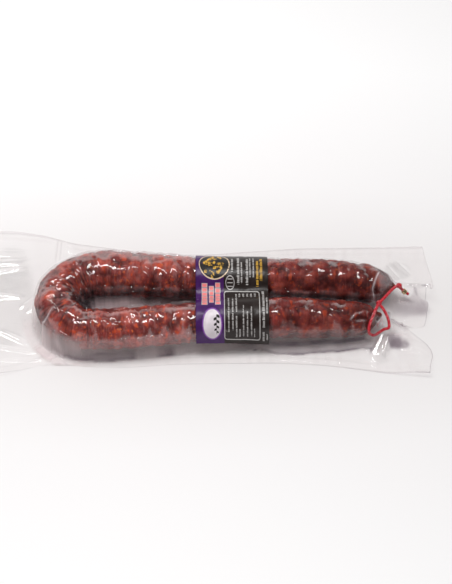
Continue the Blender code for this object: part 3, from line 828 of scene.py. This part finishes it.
def drawn_height(at):
    """The height of the film drawn over the link, and of the skirt that falls from it as a straight slope."""
    slope = SKIRT_SLOPE - SKIRT_SLOPE_LOSS * ease_between(*SLOPE_LESSENS, at.x)
    slope = slope * (1 + 0.25 * layered_noise(at.plan, 15 * MM, 41))
    sine = 1 / np.sqrt(1 + slope**2)
    skirt = at.height + (at.radius + 0.7 * bulge(at.x)) / sine - at.far * slope
    inside = np.minimum(at.far, at.radius * 0.999)
    crown = np.column_stack([at.x, at.y, at.height + np.sqrt(at.radius**2 - inside**2)])
    angle = np.arctan2(crown[:, 2] - at.height, at.side)
    # the film follows the lumps on the crown and bridges them lower down, sooner on the front of a leg
    sunk = relief(crown, at.along, at.radius, angle, fine=False)
    late = 0.15 * at.radius * (1 - ease_between(2 * MM, -6 * MM, at.behind) * (at.side < 0))
    steep = ease_between(0.74 * at.radius + late, 0.93 * at.radius + 0.4 * late, at.far)
    across = np.column_stack([at.along / BUCKLE_PITCH, angle, 0 * at.far])
    buckle = FINE_BUCKLE * layered_noise(crown, 6 * MM, 111)
    buckle = buckle + WIDE_BUCKLE * value_noise(crown / (11 * MM), 115)
    buckle = buckle + CROSS_BUCKLE * value_noise(across, 113)
    drawn = at.radius - FOLLOWED * sunk * (1 - steep) + FILM_CLEARANCE + buckle
    arc = at.height + np.sqrt(np.maximum(drawn**2 - at.far**2, 0))
    leaves = at.radius * (slope * sine)
    loose = ease_between(leaves - 2.0 * MM, leaves + 1.0 * MM, at.far)
    return arc * (1 - loose) + (skirt + FILM_CLEARANCE) * loose


def with_tents(at, surface):
    """The film's height with the ridges at the tied ends and the tent over the string."""
    for start, end, fall, shelf in TENT_RIDGES:
        start, end = to_metres(start), to_metres(end)
        share, off_x, off_y = offsets_from_run(at.x, at.y, start[:2], end[:2])
        away = np.hypot(off_x, off_y)
        level = np.where(off_x < 0, np.minimum(away, shelf * MM), 0)
        ridge = start[2] + share * (end[2] - start[2]) - SHELF_FALL * level - fall * (away - level)
        surface = soft_max(surface, ridge, 1.2 * MM)
    near = np.flatnonzero(at.x > TENTS_FROM)
    for part in np.array_split(near, max(1, len(near) // 3000)):
        off_x, off_y = at.x[part, None] - STRING_TOPS[None, :, 0], at.y[part, None] - STRING_TOPS[None, :, 1]
        over = (STRING_TOPS[None, :, 2] - STRING_FALL * np.hypot(off_x, off_y)).max(axis=1)
        surface[part] = soft_max(surface[part], over, 0.5 * MM)
    return surface


def film_veil(at, above):
    """How milky the film is with its painted sheen, its painted shade, and how far it stands off; above is
    its height over the flat margins.
    """
    x, y, far, radius = at.x, at.y, at.far, at.radius
    outer_side = at.side < 0
    left = ease_between(*LEFT_LOOK, x)
    on_floor = ease_between(*NEAR_FLOOR, above)
    level = np.maximum(above, 0) / MM

    # milky where it stands off the link, from an edge in scallops down
    streak = at.noise(4.5 * MM, 14 * MM, 91)
    lobes = np.abs(at.noise(SCALLOP_LENGTH, math.inf, 95))
    start = np.where(outer_side, VEIL_START, 0.9)
    scallop = start * radius + SCALLOP_DEPTH * np.minimum(lobes, 0.5) * outer_side
    stand_off = ease_between(*STANDS_OFF, far - scallop)
    clinging = (CLING_HAZE - FRONT_LESS * (at.behind < 0)) * left
    haze = BARE_HAZE + clinging * (0.6 + 0.5 * streak) * (1 - stand_off)
    tail = 1 - 0.75 * ease_between(*TAIL_CLEARS, x) * on_floor
    draped = outer_side * (1 - on_floor) * (0.02 + 0.08 * left)
    haze = haze + stand_off * (LOOSE_HAZE + draped + STREAK_HAZE * streak) * (1 - 0.5 * on_floor) * tail

    # painted shade in bands along the skirts, over the shadow beside the link
    beside = ease_between(0.97 * radius, radius, far) * ease_between(*SHADE_REACH, far - radius)
    uneven = value_noise(np.column_stack([at.along / (9 * MM), far * 0, level / 7]), 97)
    tone = read_rows(SKIRT_SHADE_KEPT, x / MM) * (0.9 + 0.25 * uneven)
    shade = beside * (read_rows(SKIRT_LEFT, level) * left + read_rows(SKIRT_RIGHT, level) * (1 - left)) * tone
    shade = shade * ease_between(*SHADE_LEFT_END, x) * ease_between(*SHADE_RIGHT_END, x)

    # between the legs: little painted shade, then on the rear leg's front side a strip of painted light low
    # down and painted shade higher up, with painted shade over that side
    gap = (np.abs(y + 3 * MM) < 20 * MM) & (x < 135 * MM) & (x > -104 * MM)
    shade = np.where(gap, 0.1 * shade + 0.02 * beside, shade)
    inner_shade = ease_between(0.15, 0.6, far / radius) * (at.side > 0) * (y > -4 * MM) * (x < 140 * MM)
    shade = np.maximum(shade, 0.2 * inner_shade)
    between = beside * (gap & (y > -5 * MM)) * ease_between(*GAP_LEFT_END, x)
    low = np.interp(level, (11, 13), (1, 0)) * ease_between(*GAP_SHEEN, x)
    haze = haze + 0.9 * between * low
    shade = np.maximum(shade, 0.5 * between * np.interp(level, (11, 14), (0, 1)))

    # painted reflection: paler round the lower left of the bend, with less painted shade there
    bend_sheen = beside * outer_side * ease_between(*BEND_SHEEN, x) * ease_between(*BEND_SHEEN_Y, y)
    haze = haze + 0.32 * bend_sheen * (0.8 + 0.5 * streak)
    shade = shade * (1 - 0.7 * bend_sheen * ease_between(4, 8, level))

    # painted shade patches, and lines of painted highlight and painted shade, from the tables above
    ragged = 0.2 * layered_noise(at.plan, 9 * MM, 121)
    marks = [(ease_between(1, 0.25, in_oval(x, y, *row[:4]) + ragged), *row[4:]) for row in PATCHES]
    marks += [(near_line(x, y, *row[:5]), *row[5:]) for row in LINES]
    for share, milky, darker in marks:
        haze, shade = haze + milky * share, np.maximum(shade, darker * share)
    off_x, off_y = x[:, None] - STRING_TOPS[None, ::3, 0], y[:, None] - STRING_TOPS[None, ::3, 1]
    clear = ease_between(*CLEAR_OF_STRING, np.hypot(off_x, off_y).min(axis=1))
    return haze * (0.15 + 0.85 * clear), shade * clear, stand_off


def film_gloss(at, stand_off):
    """How glossy the film is: in wide patches on the left, in small spots on the right."""
    patches = ease_between(-0.35, 0.35, layered_noise(at.plan, 19 * MM, 101))
    spots = ease_between(0.0, 0.4, layered_noise(at.plan, 7 * MM, 105))
    right = ease_between(*SPOTS_GLOSS, at.x)
    gloss = (0.3 + 0.6 * patches) * (1 - right) + (0.06 + 0.84 * spots) * right
    gloss = gloss * (1 - stand_off) + 0.2 * stand_off
    for row in SHINY:
        gloss = np.maximum(gloss, ease_between(1, 0.6, in_oval(at.x, at.y, *row)))
    return gloss


def film_surface(x, y):
    """The upper film at places in plan: its height, how milky it is with its painted sheen, its painted
    shade, how glossy it is, and the way along.
    """
    at = Places(x, y)
    surface = with_tents(at, drawn_height(at))
    ends = np.clip((np.maximum(-x + FLAT_LEFT, x - FLAT_RIGHT)) / (16 * MM), 0, 1)
    ripple = 0.3 + 0.7 * layered_noise(at.plan * [0.8, 1.25, 1], 24 * MM, 51)
    flat = FILM_FLAT + curl(x, y) + np.maximum(ripple, -0.3) * MM * (0.25 + 0.4 * ends)
    haze, shade, stand_off = film_veil(at, surface - flat)
    surface = soft_max(surface, flat, FOOT_FILLET) + fold_height(x, y)
    drawn_place = np.column_stack([at.along, at.far, 0 * at.far])
    return np.maximum(surface, FILM_FLAT), haze, shade, film_gloss(at, stand_off), drawn_place


def spaced(stretches):
    """Places along a line: each stretch gives its start, end and spacing, in millimetres."""
    places = []
    for start, end, spacing in stretches:
        count = max(1, round((end - start) / spacing))
        places.extend(np.linspace(start, end, count, endpoint=False))
    places.append(stretches[-1][1])
    return np.array(places) * MM


def half_route(x_values, rear):
    """The rows of the route that make one leg, from the bend's tip on."""
    turn = int(np.argmin(x_values))
    return slice(turn, None, -1) if rear else slice(turn, None)


def outline(x, rear):
    """The y of the link's outer side at x, held level past its ends."""
    outer = ROUTE[:, :2] - SIDE * ROUTE[:, 2:3]
    part = half_route(outer[:, 0], rear)
    return np.interp(np.clip(x, -98 * MM, 120 * MM), outer[part, 0], outer[part, 1])


def lifted_over(x, y, z, piece):
    """The film's heights z at x and y, raised where they lie a little under the top of a piece."""
    tree = BVHTree.FromObject(piece, bpy.context.evaluated_depsgraph_get())
    low, high = np.array(piece.bound_box).min(axis=0), np.array(piece.bound_box).max(axis=0)
    near = (x > low[0]) & (x < high[0]) & (y > low[1]) & (y < high[1]) & (z < high[2] + LIFT_GAP)
    z = z.copy()
    for i in np.flatnonzero(near):
        top = tree.ray_cast(Vector((x[i], y[i], high[2] + 1)), Vector((0, 0, -1)))[0]
        if top is not None and 0 < top.z + LIFT_GAP - z[i] < MOST_LIFT:
            z[i] = top.z + LIFT_GAP
    return z


def make_film(link, twine):
    """The bag's film: an upper sheet drawn over link and twine and a flat lower sheet, joined at the rim."""
    share_x, by_front, by_rear = spaced(FILM_COLUMNS), spaced(FRONT_ROWS), spaced(REAR_ROWS)
    rows = []
    for x in share_x:
        front, rear = edge_line(FRONT_EDGE, x), edge_line(REAR_EDGE, x)
        near = outline(x, rear=False) + by_front
        far = outline(x, rear=True) + by_rear
        lead = np.linspace(front, near[0], RIM_ROWS, endpoint=False)
        between = np.linspace(near[-1], far[0], MIDDLE_ROWS + 2)[1:-1]
        trail = np.linspace(far[-1], rear, RIM_ROWS + 1)[1:]
        rows.append(np.concatenate([lead, near, between, far, trail]))
    y = np.array(rows)
    count_x, count_y = y.shape
    x = np.repeat(share_x[:, None], count_y, axis=1)
    unit = (x - LEFT_END) / (RIGHT_END - LEFT_END)
    end_pull = ease_between(0.86, 1.0, unit) * (right_end(y) - RIGHT_END)
    x = x + end_pull + ease_between(0.1, 0.0, unit) * (left_end(y) - LEFT_END)
    x, y = x.ravel(), y.ravel()
    z, haze, shade, gloss, drawn = film_surface(x, y)
    for piece in (link, twine):
        z = lifted_over(x, y, z, piece)

    rim = np.pad(np.zeros((count_x - 2, count_y - 2), bool), 1, constant_values=True).ravel()
    haze = np.where(rim, RIM_HAZE, haze)
    fainter = np.where(y > 22 * MM, 0.32, 0.2 * ease_between(20 * MM, 80 * MM, x) * (x < 168 * MM))
    shade = np.where(rim, RIM_SHADE - fainter, shade)
    weld = np.abs(np.minimum(y - edge_line(FRONT_EDGE, x), edge_line(REAR_EDGE, x) - y))
    haze = haze + WELD_HAZE * np.exp(-(((weld - WELD_INSET) / WELD_WIDTH) ** 2))

    lower = np.column_stack([x, y, curl(x, y) + LOWER_HEIGHT])
    lower[rim, 2] = np.minimum(lower[rim, 2], z[rim] - 0.1 * MM)
    keep_x, keep_y = (np.unique([*range(0, count, LOWER_KEEPS), count - 1]) for count in (count_x, count_y))
    picked = (keep_x[:, None] * count_y + keep_y[None, :]).ravel()
    faces = grid_faces(count_x, count_y)
    faces += [face[::-1] for face in grid_faces(len(keep_x), len(keep_y), start=len(x))]
    mesh = new_mesh("film", np.vstack([np.column_stack([x, y, z]), lower[picked]]), faces)
    # the milky haze with its painted sheen, the painted shade and the gloss go to the material as attributes
    for name, upper, under in (("haze", haze, 0.0), ("shade", shade, 0.0), ("gloss", gloss, 0.05)):
        add_number(mesh, name, np.concatenate([upper, np.full(len(picked), under)]))
    add_place(mesh, "drawn", np.vstack([drawn, drawn[picked]]))
    mesh.materials.append(film_material())
    return new_piece("film", mesh, "film", "bag")


# The label


def leg_section(x, rear):
    """The centre (y, z) and the radius of one leg's section at x."""
    part = half_route(ROUTE[:, 0], rear)
    y, radius = (np.interp(x, ROUTE[part, 0], ROUTE[part, i]) for i in (1, 2))
    return np.array([y, SEAT_HEIGHT + max(radius, END_AXIS_RADIUS)]), radius


def label_path(x):
    """The label's path across both legs at x: places (y, z) and the directions that its face looks in."""
    rear_centre, rear_radius = leg_section(x, rear=True)
    front_centre, front_radius = leg_section(x, rear=False)
    rear_end = math.pi - LABEL_VALLEY_ANGLE
    front_end = math.pi - LABEL_TANGENT_ANGLE

    def arc(centre, radius, start, end, count):
        angles = np.linspace(start, end, count)
        return centre + (radius + LABEL_CLEARANCE) * np.column_stack([np.cos(angles), np.sin(angles)])

    rear = arc(rear_centre, rear_radius, LABEL_REAR_ANGLE, rear_end, 40)
    front = arc(front_centre, front_radius, LABEL_VALLEY_ANGLE, front_end, 40)
    start, end = rear[-1], front[0]
    span = end[0] - start[0]
    start_slope = span * np.array([1.0, -1 / math.tan(rear_end)])
    end_slope = span * np.array([1.0, -1 / math.tan(LABEL_VALLEY_ANGLE)])
    t = np.linspace(0, 1, 18)[1:-1, None]
    valley = (2 * t**3 - 3 * t**2 + 1) * start + (t**3 - 2 * t**2 + t) * start_slope
    valley = valley + (3 * t**2 - 2 * t**3) * end + (t**3 - t**2) * end_slope
    down = np.array([-math.sin(LABEL_TANGENT_ANGLE), -math.cos(LABEL_TANGENT_ANGLE)])
    longer = LABEL_TAIL_RIGHT - LABEL_TAIL_LEFT
    reach = LABEL_TAIL_LEFT + longer * (x - LABEL_LEFT) / (LABEL_RIGHT - LABEL_LEFT)
    tail = front[-1] + down * np.linspace(0, reach, 11)[1:, None]
    return np.vstack([rear, valley, front, tail])


class LabelSheet:
    """Places on the label from shares of its width (0 at the left) and of its length (0 at the rear edge)."""

    def __init__(self, columns=59, rows=140):
        shares = np.linspace(0, 1, rows)
        sheet = []
        for x in np.linspace(LABEL_LEFT, LABEL_RIGHT, columns):
            path = label_path(x)
            along = lengths_along(path)
            places = [np.interp(shares * along[-1], along, path[:, i]) for i in (0, 1)]
            skewed = x + LABEL_SKEW * (shares - 0.5)
            sheet.append(np.column_stack([skewed, *places]))
        points = np.array(sheet)
        u_step = np.gradient(points, axis=0)
        v_step = np.gradient(points, axis=1)
        normal = np.cross(v_step, u_step)
        normal /= np.linalg.norm(normal, axis=2)[..., None]
        if normal[..., 2].sum() < 0:
            normal = -normal
        flat = points.reshape(-1, 3)
        dent = 0.28 * MM * layered_noise(flat, 9 * MM, 61, 3) + 0.14 * MM * layered_noise(flat, 3.5 * MM, 71)
        self.points = points + normal * dent.reshape(points.shape[:2])[..., None]
        self.normal = normal

    def place(self, u, v, lift=0.0):
        """The places at arrays of shares, lifted off the sheet."""
        columns, rows = self.points.shape[:2]
        column, row = np.clip(u, 0, 1) * (columns - 1), np.clip(v, 0, 1) * (rows - 1)
        c, r = np.minimum(column.astype(int), columns - 2), np.minimum(row.astype(int), rows - 2)
        a, b = (column - c)[..., None], (row - r)[..., None]

        def blend(grid):
            near = grid[c, r] * (1 - b) + grid[c, r + 1] * b
            far = grid[c + 1, r] * (1 - b) + grid[c + 1, r + 1] * b
            return near * (1 - a) + far * a

        return blend(self.points) + blend(self.normal) * lift


class PrintLayer:
    """Flat printed shapes laid on the label, gathered as one mesh."""

    def __init__(self, sheet, lift):
        self.sheet, self.lift = sheet, lift
        self.points, self.faces, self.slots = [], [], []

    def patch(self, u, v, slot):
        """A curved patch whose rows and columns of shares are given."""
        placed = self.sheet.place(u, v, self.lift).reshape(-1, 3)
        start = sum(len(points) for points in self.points)
        faces = grid_faces(*u.shape, start=start)
        self.points.append(placed)
        self.faces += faces
        self.slots += [slot] * len(faces)

    def bar(self, u0, v0, u1, v1, slot):
        steps = max(2, int(abs(v1 - v0) * 110) + 1)
        across = max(3, int(abs(u1 - u0) * 60) + 1)
        u, v = np.meshgrid(np.linspace(u0, u1, across), np.linspace(v0, v1, steps), indexing="ij")
        self.patch(u, v, slot)

    def ring(self, u, v, half_u, half_v, width, slot, start=0.0, end=2 * math.pi):
        """A band round an ellipse; a width of 1 fills it."""
        angles = np.linspace(start, end, 49)
        shares = np.linspace(1 - width, 1, 4 if width < 0.5 else 12)
        turn, share = np.meshgrid(angles, shares, indexing="ij")
        self.patch(u + half_u * share * np.cos(turn), v + half_v * share * np.sin(turn), slot)

    def mesh(self, name, materials):
        mesh = new_mesh(name, np.vstack(self.points), self.faces)
        for material in materials:
            mesh.materials.append(material)
        mesh.polygons.foreach_set("material_index", self.slots)
        return mesh


def make_label():
    """The printed sheet, and its print as fields, rings and bars that spell nothing."""
    sheet = LabelSheet()
    columns, rows = LABEL_GRID
    u, v = np.meshgrid(np.linspace(0, 1, columns), np.linspace(0, 1, rows), indexing="ij")
    top = sheet.place(u, v, LABEL_THICKNESS).reshape(-1, 3)
    under = sheet.place(u, v).reshape(-1, 3)
    count = len(top)
    faces = grid_faces(columns, rows)
    lower = [tuple(i + count for i in face[::-1]) for face in faces]
    grid = np.arange(count).reshape(columns, rows)
    edge = np.concatenate([grid[:, 0], grid[-1, 1:], grid[-2::-1, -1], grid[0, -2:0:-1]]).tolist()
    rim = [(a + count, b + count, b, a) for a, b in zip(edge, edge[1:] + edge[:1])]
    mesh = new_mesh("label_sheet", np.vstack([top, under]), faces + lower + rim)
    mesh.materials.append(print_material("field_dark", (0.016, 0.0095, 0.008)))
    mesh.materials.append(print_material("field_violet", (0.045, 0.005, 0.088)))
    violet = [int(u.ravel()[face[0]] < PURPLE_SHARE) for face in faces]
    mesh.polygons.foreach_set("material_index", violet + [0] * (len(lower) + len(rim)))
    new_piece("label_sheet", mesh, "print", "label")

    ink = PrintLayer(sheet, LABEL_THICKNESS + INK_STEP)
    print_shapes(ink)
    materials = [print_material(f"ink_{name}", color) for name, color in INKS.items()]
    new_piece("label_print", ink.mesh("label_print", materials), "print")


INKS = {
    "white": (0.46, 0.44, 0.43),
    "gold": (0.6, 0.34, 0.04),
    "salmon": (0.75, 0.2, 0.2),
    "cream": (0.66, 0.5, 0.34),
    "black": (0.014, 0.012, 0.012),
    "glow": (0.62, 0.56, 0.6),
    "halo": (0.2, 0.06, 0.32),
}
WHITE, GOLD, SALMON, CREAM, BLACK, GLOW, HALO = range(7)

# Small print as columns of blocks: share of the width where a column starts and ends, then along the length
SMALL_PRINT = (
    (0.484, 0.522, 0.213, 0.345, WHITE), (0.566, 0.608, 0.2, 0.437, WHITE),
    (0.62, 0.648, 0.254, 0.425, WHITE), (0.689, 0.73, 0.213, 0.444, WHITE),
    (0.738, 0.764, 0.2, 0.383, WHITE), (0.785, 0.812, 0.2, 0.383, WHITE), (0.83, 0.872, 0.241, 0.451, GOLD),
    (0.88, 0.926, 0.213, 0.406, GOLD), (0.434, 0.462, 0.583, 0.895, WHITE),
    (0.49, 0.518, 0.6, 0.876, WHITE), (0.54, 0.568, 0.52, 0.739, WHITE), (0.54, 0.568, 0.768, 0.941, WHITE),
    (0.586, 0.612, 0.868, 0.941, WHITE), (0.636, 0.662, 0.679, 0.935, WHITE),
    (0.69, 0.716, 0.73, 0.935, WHITE), (0.745, 0.771, 0.69, 0.925, WHITE), (0.79, 0.81, 0.86, 0.935, WHITE),
    (0.905, 0.945, 0.49, 0.845, WHITE), (0.905, 0.94, 0.886, 0.968, WHITE),
    (0.958, 0.985, 0.583, 0.739, WHITE), (0.958, 0.985, 0.905, 0.959, WHITE),
)
# The row of short figures inside the frame: where each starts across the width
FIGURES = (0.582, 0.636, 0.69, 0.742, 0.796)
# The title: columns of heavy blocks on the violet field
TITLE = (
    (0.079, 0.163, 0.43, 0.679, 7), (0.18, 0.253, 0.451, 0.655, 5), (0.264, 0.343, 0.425, 0.679, 6),
)
BADGE = (0.26, 0.275, 0.214, 0.128)
STAMP = (0.475, 0.425, 0.062, 0.056)
OVAL = (0.225, 0.835, 0.122, 0.118)
FRAME = (0.388, 0.49, 0.88, 0.966)


def small_print(ink, draw, u0, u1, v0, v1, slot):
    """A column of small blocks with uneven lengths and gaps, which spell nothing."""
    place, left = v0, 0
    while place < v1:
        left = left or draw.integers(3, 8)
        length = draw.uniform(0.004, 0.0085)
        indent = draw.uniform(0, 0.25) * (u1 - u0)
        ink.bar(u0 + 0.003 + indent, place, u1 - 0.003, min(place + length, v1), slot)
        left -= 1
        place += length + (0.0032 if left else 0.0085)


def leaf(ink, u, v, turn, length, slot):
    """A plain pointed leaf."""
    along, across = np.meshgrid(np.linspace(0, 1, 9), np.linspace(-1, 1, 3), indexing="ij")
    wide = 0.3 * length * np.sin(along * math.pi) ** 0.8 * across
    run = along * length
    du = run * math.cos(turn) - wide * math.sin(turn)
    dv = run * math.sin(turn) + wide * math.cos(turn)
    ink.patch(u + du, v + dv * BADGE[3] / BADGE[2], slot)


def print_shapes(ink):
    """A badge of leaves, a title of blocks, an oval, a stamp and a frame with columns of small print."""
    draw = np.random.default_rng(8)
    u, v, half_u, half_v = BADGE
    ink.ring(u, v, half_u * 0.95, half_v * 0.95, 1.0, BLACK)
    ink.ring(u, v, half_u, half_v, 0.075, CREAM)
    for turn in np.arange(26) * 2.4:
        spread = 0.72 * math.sqrt((turn / 2.4 + 1) / 27)
        at_u = u + half_u * spread * math.cos(turn)
        at_v = v + half_v * spread * math.sin(turn)
        leaf(ink, at_u, at_v, turn * 1.7, draw.uniform(0.05, 0.085), GOLD)

    for u0, u1, v0, v1, blocks in TITLE:
        step = (v1 - v0) / blocks
        for block in range(blocks):
            start = v0 + block * step
            inset = draw.uniform(0, 0.006)
            ink.bar(u0 + inset, start, u1 - inset, start + step * 0.93, WHITE)
        ink.lift += INK_STEP
        for block in range(blocks):
            start = v0 + block * step
            ink.bar(u0 + 0.011, start + step * 0.1, u1 - 0.011, start + step * 0.84, SALMON)
        ink.lift -= INK_STEP

    u, v, half_u, half_v = OVAL
    ink.ring(u, v, half_u * 1.14, half_v * 1.1, 1.0, HALO)
    ink.lift += INK_STEP
    ink.ring(u, v, half_u, half_v, 1.0, GLOW)
    ink.lift += INK_STEP
    ink.bar(u + 0.055, v - 0.075, u + 0.061, v + 0.08, BLACK)
    for row in range(7):
        turn = 0.75 * math.pi if row % 2 else 0.25 * math.pi
        leaf(ink, u + 0.058, v - 0.075 + 0.021 * row, turn, 0.06 - 0.003 * row, BLACK)
    ink.lift -= 2 * INK_STEP

    u, v, half_u, half_v = STAMP
    ink.ring(u, v, half_u, half_v, 0.13, WHITE)
    for shift in (-0.5, 0, 0.5):
        line_v = v + shift * half_v
        ink.bar(u - half_u * 0.6, line_v - 0.003, u + half_u * 0.6, line_v + 0.003, WHITE)

    u0, v0, u1, v1 = FRAME
    line_u, line_v, corner = 0.011, 0.0075, 0.03
    for left, right in ((u0, u0 + line_u), (u1 - line_u, u1)):
        ink.bar(left, v0 + corner, right, v1 - corner, WHITE)
    for rear, front in ((v0, v0 + line_v), (v1 - line_v, v1)):
        ink.bar(u0 + corner, rear, u1 - corner, front, WHITE)
    for at_u, at_v, turn in (
        (u0 + corner, v0 + corner, math.pi),
        (u1 - corner, v0 + corner, 1.5 * math.pi),
        (u1 - corner, v1 - corner, 0),
        (u0 + corner, v1 - corner, 0.5 * math.pi),
    ):
        ink.ring(at_u, at_v, corner, corner, 0.3, WHITE, turn, turn + math.pi / 2)
    for at_u in FIGURES:
        small_print(ink, draw, at_u, at_u + 0.034, 0.515, 0.575, WHITE)
    for u0, u1, v0, v1, slot in SMALL_PRINT:
        small_print(ink, draw, u0, u1, v0, v1, slot)


# The string and the clip


def path_frames(path):
    """The direction of a path at each point, and two directions across it that turn as little as they can."""
    run = np.gradient(path, axis=0)
    run /= np.linalg.norm(run, axis=1)[:, None]
    across = np.empty_like(run)
    start = np.cross(run[0], (0, 0, 1))
    across[0] = start / np.linalg.norm(start)
    for i in range(1, len(run)):
        carried = across[i - 1] - run[i] * (across[i - 1] @ run[i])
        across[i] = carried / np.linalg.norm(carried)
    return run, across, np.cross(run, across)


def tube(path, radius):
    """Points and faces of a tube with capped ends."""
    _, across, up = path_frames(path)
    angles = np.linspace(0, 2 * math.pi, TUBE_SIDES, endpoint=False)
    spokes = across[:, None] * np.cos(angles)[None, :, None] + up[:, None] * np.sin(angles)[None, :, None]
    points = (path[:, None] + spokes * radius).reshape(-1, 3)
    faces = grid_faces(len(path), TUBE_SIDES, wrap_columns=True)
    faces.append(tuple(range(TUBE_SIDES))[::-1])
    faces.append(tuple(len(points) - TUBE_SIDES + i for i in range(TUBE_SIDES)))
    return points, faces


def twisted(path):
    """The strands of a twisted string along a path."""
    _, across, up = path_frames(path)
    along = lengths_along(path)
    for strand in range(STRANDS):
        turn = 2 * math.pi * (along / STRAND_PITCH + strand / STRANDS)
        wound = path + STRAND_OFFSET * (across * np.cos(turn)[:, None] + up * np.sin(turn)[:, None])
        yield tube(wound, STRAND_RADIUS)


def coil(middle, direction, turns, radius, rise):
    """A few turns of string round a line, as a knot shows."""
    direction = np.asarray(direction, float) / np.linalg.norm(direction)
    across = np.cross(direction, (0.3, 0.2, 0.9))
    across /= np.linalg.norm(across)
    up = np.cross(direction, across)
    t = np.linspace(0, 1, int(28 * turns))
    turn = 2 * math.pi * turns * t
    ring = across * np.cos(turn)[:, None] + up * np.sin(turn)[:, None]
    return middle + ring * radius + direction * ((t - 0.5) * rise)[:, None]


def make_string():
    """The string: a twisted tail and loop, with a knot where they meet and one at the rear leg's tip."""
    tail, rear = TAIL_PATH, len(TAIL_PATH) // 3
    knots = (
        coil(tail[-1], tail[-1] - tail[-9], 2.2, 1.35 * MM, 2.6 * MM),
        coil(tail[rear], tail[rear + 6] - tail[rear - 6], 2.4, 1.45 * MM, 3.2 * MM),
    )
    points, faces = [], []
    pieces = [*twisted(tail), *twisted(LOOP_PATH), *(tube(knot, KNOT_STRING_RADIUS) for knot in knots)]
    for part_points, part_faces in pieces:
        start = sum(len(p) for p in points)
        points.append(part_points)
        faces += [tuple(i + start for i in face) for face in part_faces]
    mesh = new_mesh("twine", np.vstack(points), faces)
    mesh.materials.append(string_material())
    return new_piece("twine", mesh, "string", "string")


def make_clip():
    """The clip: a crimped metal band round the string near its cut end."""
    tail = TAIL_PATH
    low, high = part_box("clip")
    middle = (np.array(low) + np.array(high)) / 2
    near = int(np.argmin(np.linalg.norm(tail - middle, axis=1)))
    direction = tail[near] - tail[near + 5]
    direction /= np.linalg.norm(direction)
    side = np.cross(direction, (0, 0, 1))
    side /= np.linalg.norm(side)
    up = np.cross(side, direction)
    angles = np.linspace(0, 2 * math.pi, CLIP_SIDES, endpoint=False)
    flat = 1 - 0.16 * np.cos(2 * angles)
    ring = side * (np.cos(angles) * flat)[:, None] + up * (np.sin(angles) / flat)[:, None]
    points = [tail[near] + ring * radius * MM + direction * shift * MM for radius, shift in CLIP_PROFILE]
    faces = grid_faces(len(CLIP_PROFILE), CLIP_SIDES, wrap_rows=True, wrap_columns=True)
    mesh = new_mesh("crimp", np.vstack(points), faces)
    mesh.materials.append(clip_material())
    return new_piece("crimp", mesh, "metal", "clip")


# The studio


def make_studio():
    """The floor, white with a faint grey of painted shadow under the pack, the light of the room and two
    lamps.
    """
    n = Nodes("pale_floor")
    stretched = n.stretched(n.object_place(), (0.3, 1.0, 0.0))
    far = n.add("VectorMath", {"operation": "LENGTH"}, _0=stretched).outputs["Value"]
    # painted shadow: the floor is greyer near the pack, turning white further out
    painted_shadow_near, grey, white = (0.79, 0.765, 0.76), (0.9, 0.885, 0.885), (1.0, 0.995, 0.995)
    shade = n.ramp(far, (0.05, painted_shadow_near), (0.13, grey), (0.26, white))
    shader = n.add("BsdfPrincipled", Base_Color=shade, Roughness=0.7)
    corners = [(-FLOOR_REACH, -FLOOR_REACH, 0), (FLOOR_REACH, -FLOOR_REACH, 0)]
    corners += [(FLOOR_REACH, FLOOR_REACH, 0), (-FLOOR_REACH, FLOOR_REACH, 0)]
    mesh = new_mesh("floor", corners, [(0, 1, 2, 3)], smooth=False)
    mesh.materials.append(n.finish(shader.outputs[0]))
    linked("floor", mesh)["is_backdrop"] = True

    n = Nodes("studio", world=True)
    # what the film mirrors: a pale sweep behind the table, a dim room above and in front of it
    looked_at = n.add("TexCoord").outputs["Generated"]
    upward = n.add("VectorMath", {"operation": "DOT_PRODUCT"}, _0=looked_at, _1=(0.0, -0.6, 1.0))
    sweep = {"From_Min": -0.1, "From_Max": 0.35, "To_Min": 0.85, "To_Max": 0.07}
    mirrored = n.add("MapRange", Value=upward.outputs["Value"], **sweep).outputs[0]
    glossy_ray = n.add("LightPath").outputs["Is Glossy Ray"]
    strength = n.add("MapRange", Value=glossy_ray, To_Min=0.36, To_Max=mirrored).outputs[0]
    background = n.add("Background", Color=(1.0, 0.985, 0.985), Strength=strength)
    bpy.context.scene.world = n.finish(background.outputs[0])

    add_light("overhead", (-0.2, 0.12, 0.95), (0.15, 0.8), 5.5)
    bounce = add_light("bounce", (0.02, -0.06, 1.6), (1.6, 1.2), 7.0)
    # the bounce off the ceiling is too broad and faint for the film to mirror
    bounce.visible_glossy = False


def add_light(name, place, size, power):
    """An oval lamp that looks at the middle of the pack."""
    light = bpy.data.lights.new(name, "AREA")
    light.shape = "ELLIPSE"
    light.size, light.size_y = size
    light.energy = power
    holder = linked(name, light)
    holder.location = place
    holder.rotation_euler = (LIT_PLACE - Vector(place)).to_track_quat("-Z", "Y").to_euler()
    return holder


def make_camera():
    """The camera that sees what the photograph shows."""
    data = bpy.data.cameras.new("camera")
    data.lens = CAMERA_LENS
    camera = linked("camera", data)
    back = Vector((0, -math.cos(CAMERA_ELEVATION), math.sin(CAMERA_ELEVATION)))
    camera.location = CAMERA_TARGET + back * CAMERA_DISTANCE
    camera.rotation_euler = (math.pi / 2 - CAMERA_ELEVATION, 0, 0)
    bpy.context.scene.camera = camera


make_camera()
make_studio()
link = make_link()
make_label()
twine = make_string()
make_clip()
make_film(link, twine)
bpy.context.scene.view_settings.view_transform = "Standard"
bpy.context.view_layer.update()
boxes = {"cad": CAD_BOX, "visual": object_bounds()}
{name: [list(corner) for corner in box] for name, box in boxes.items()}
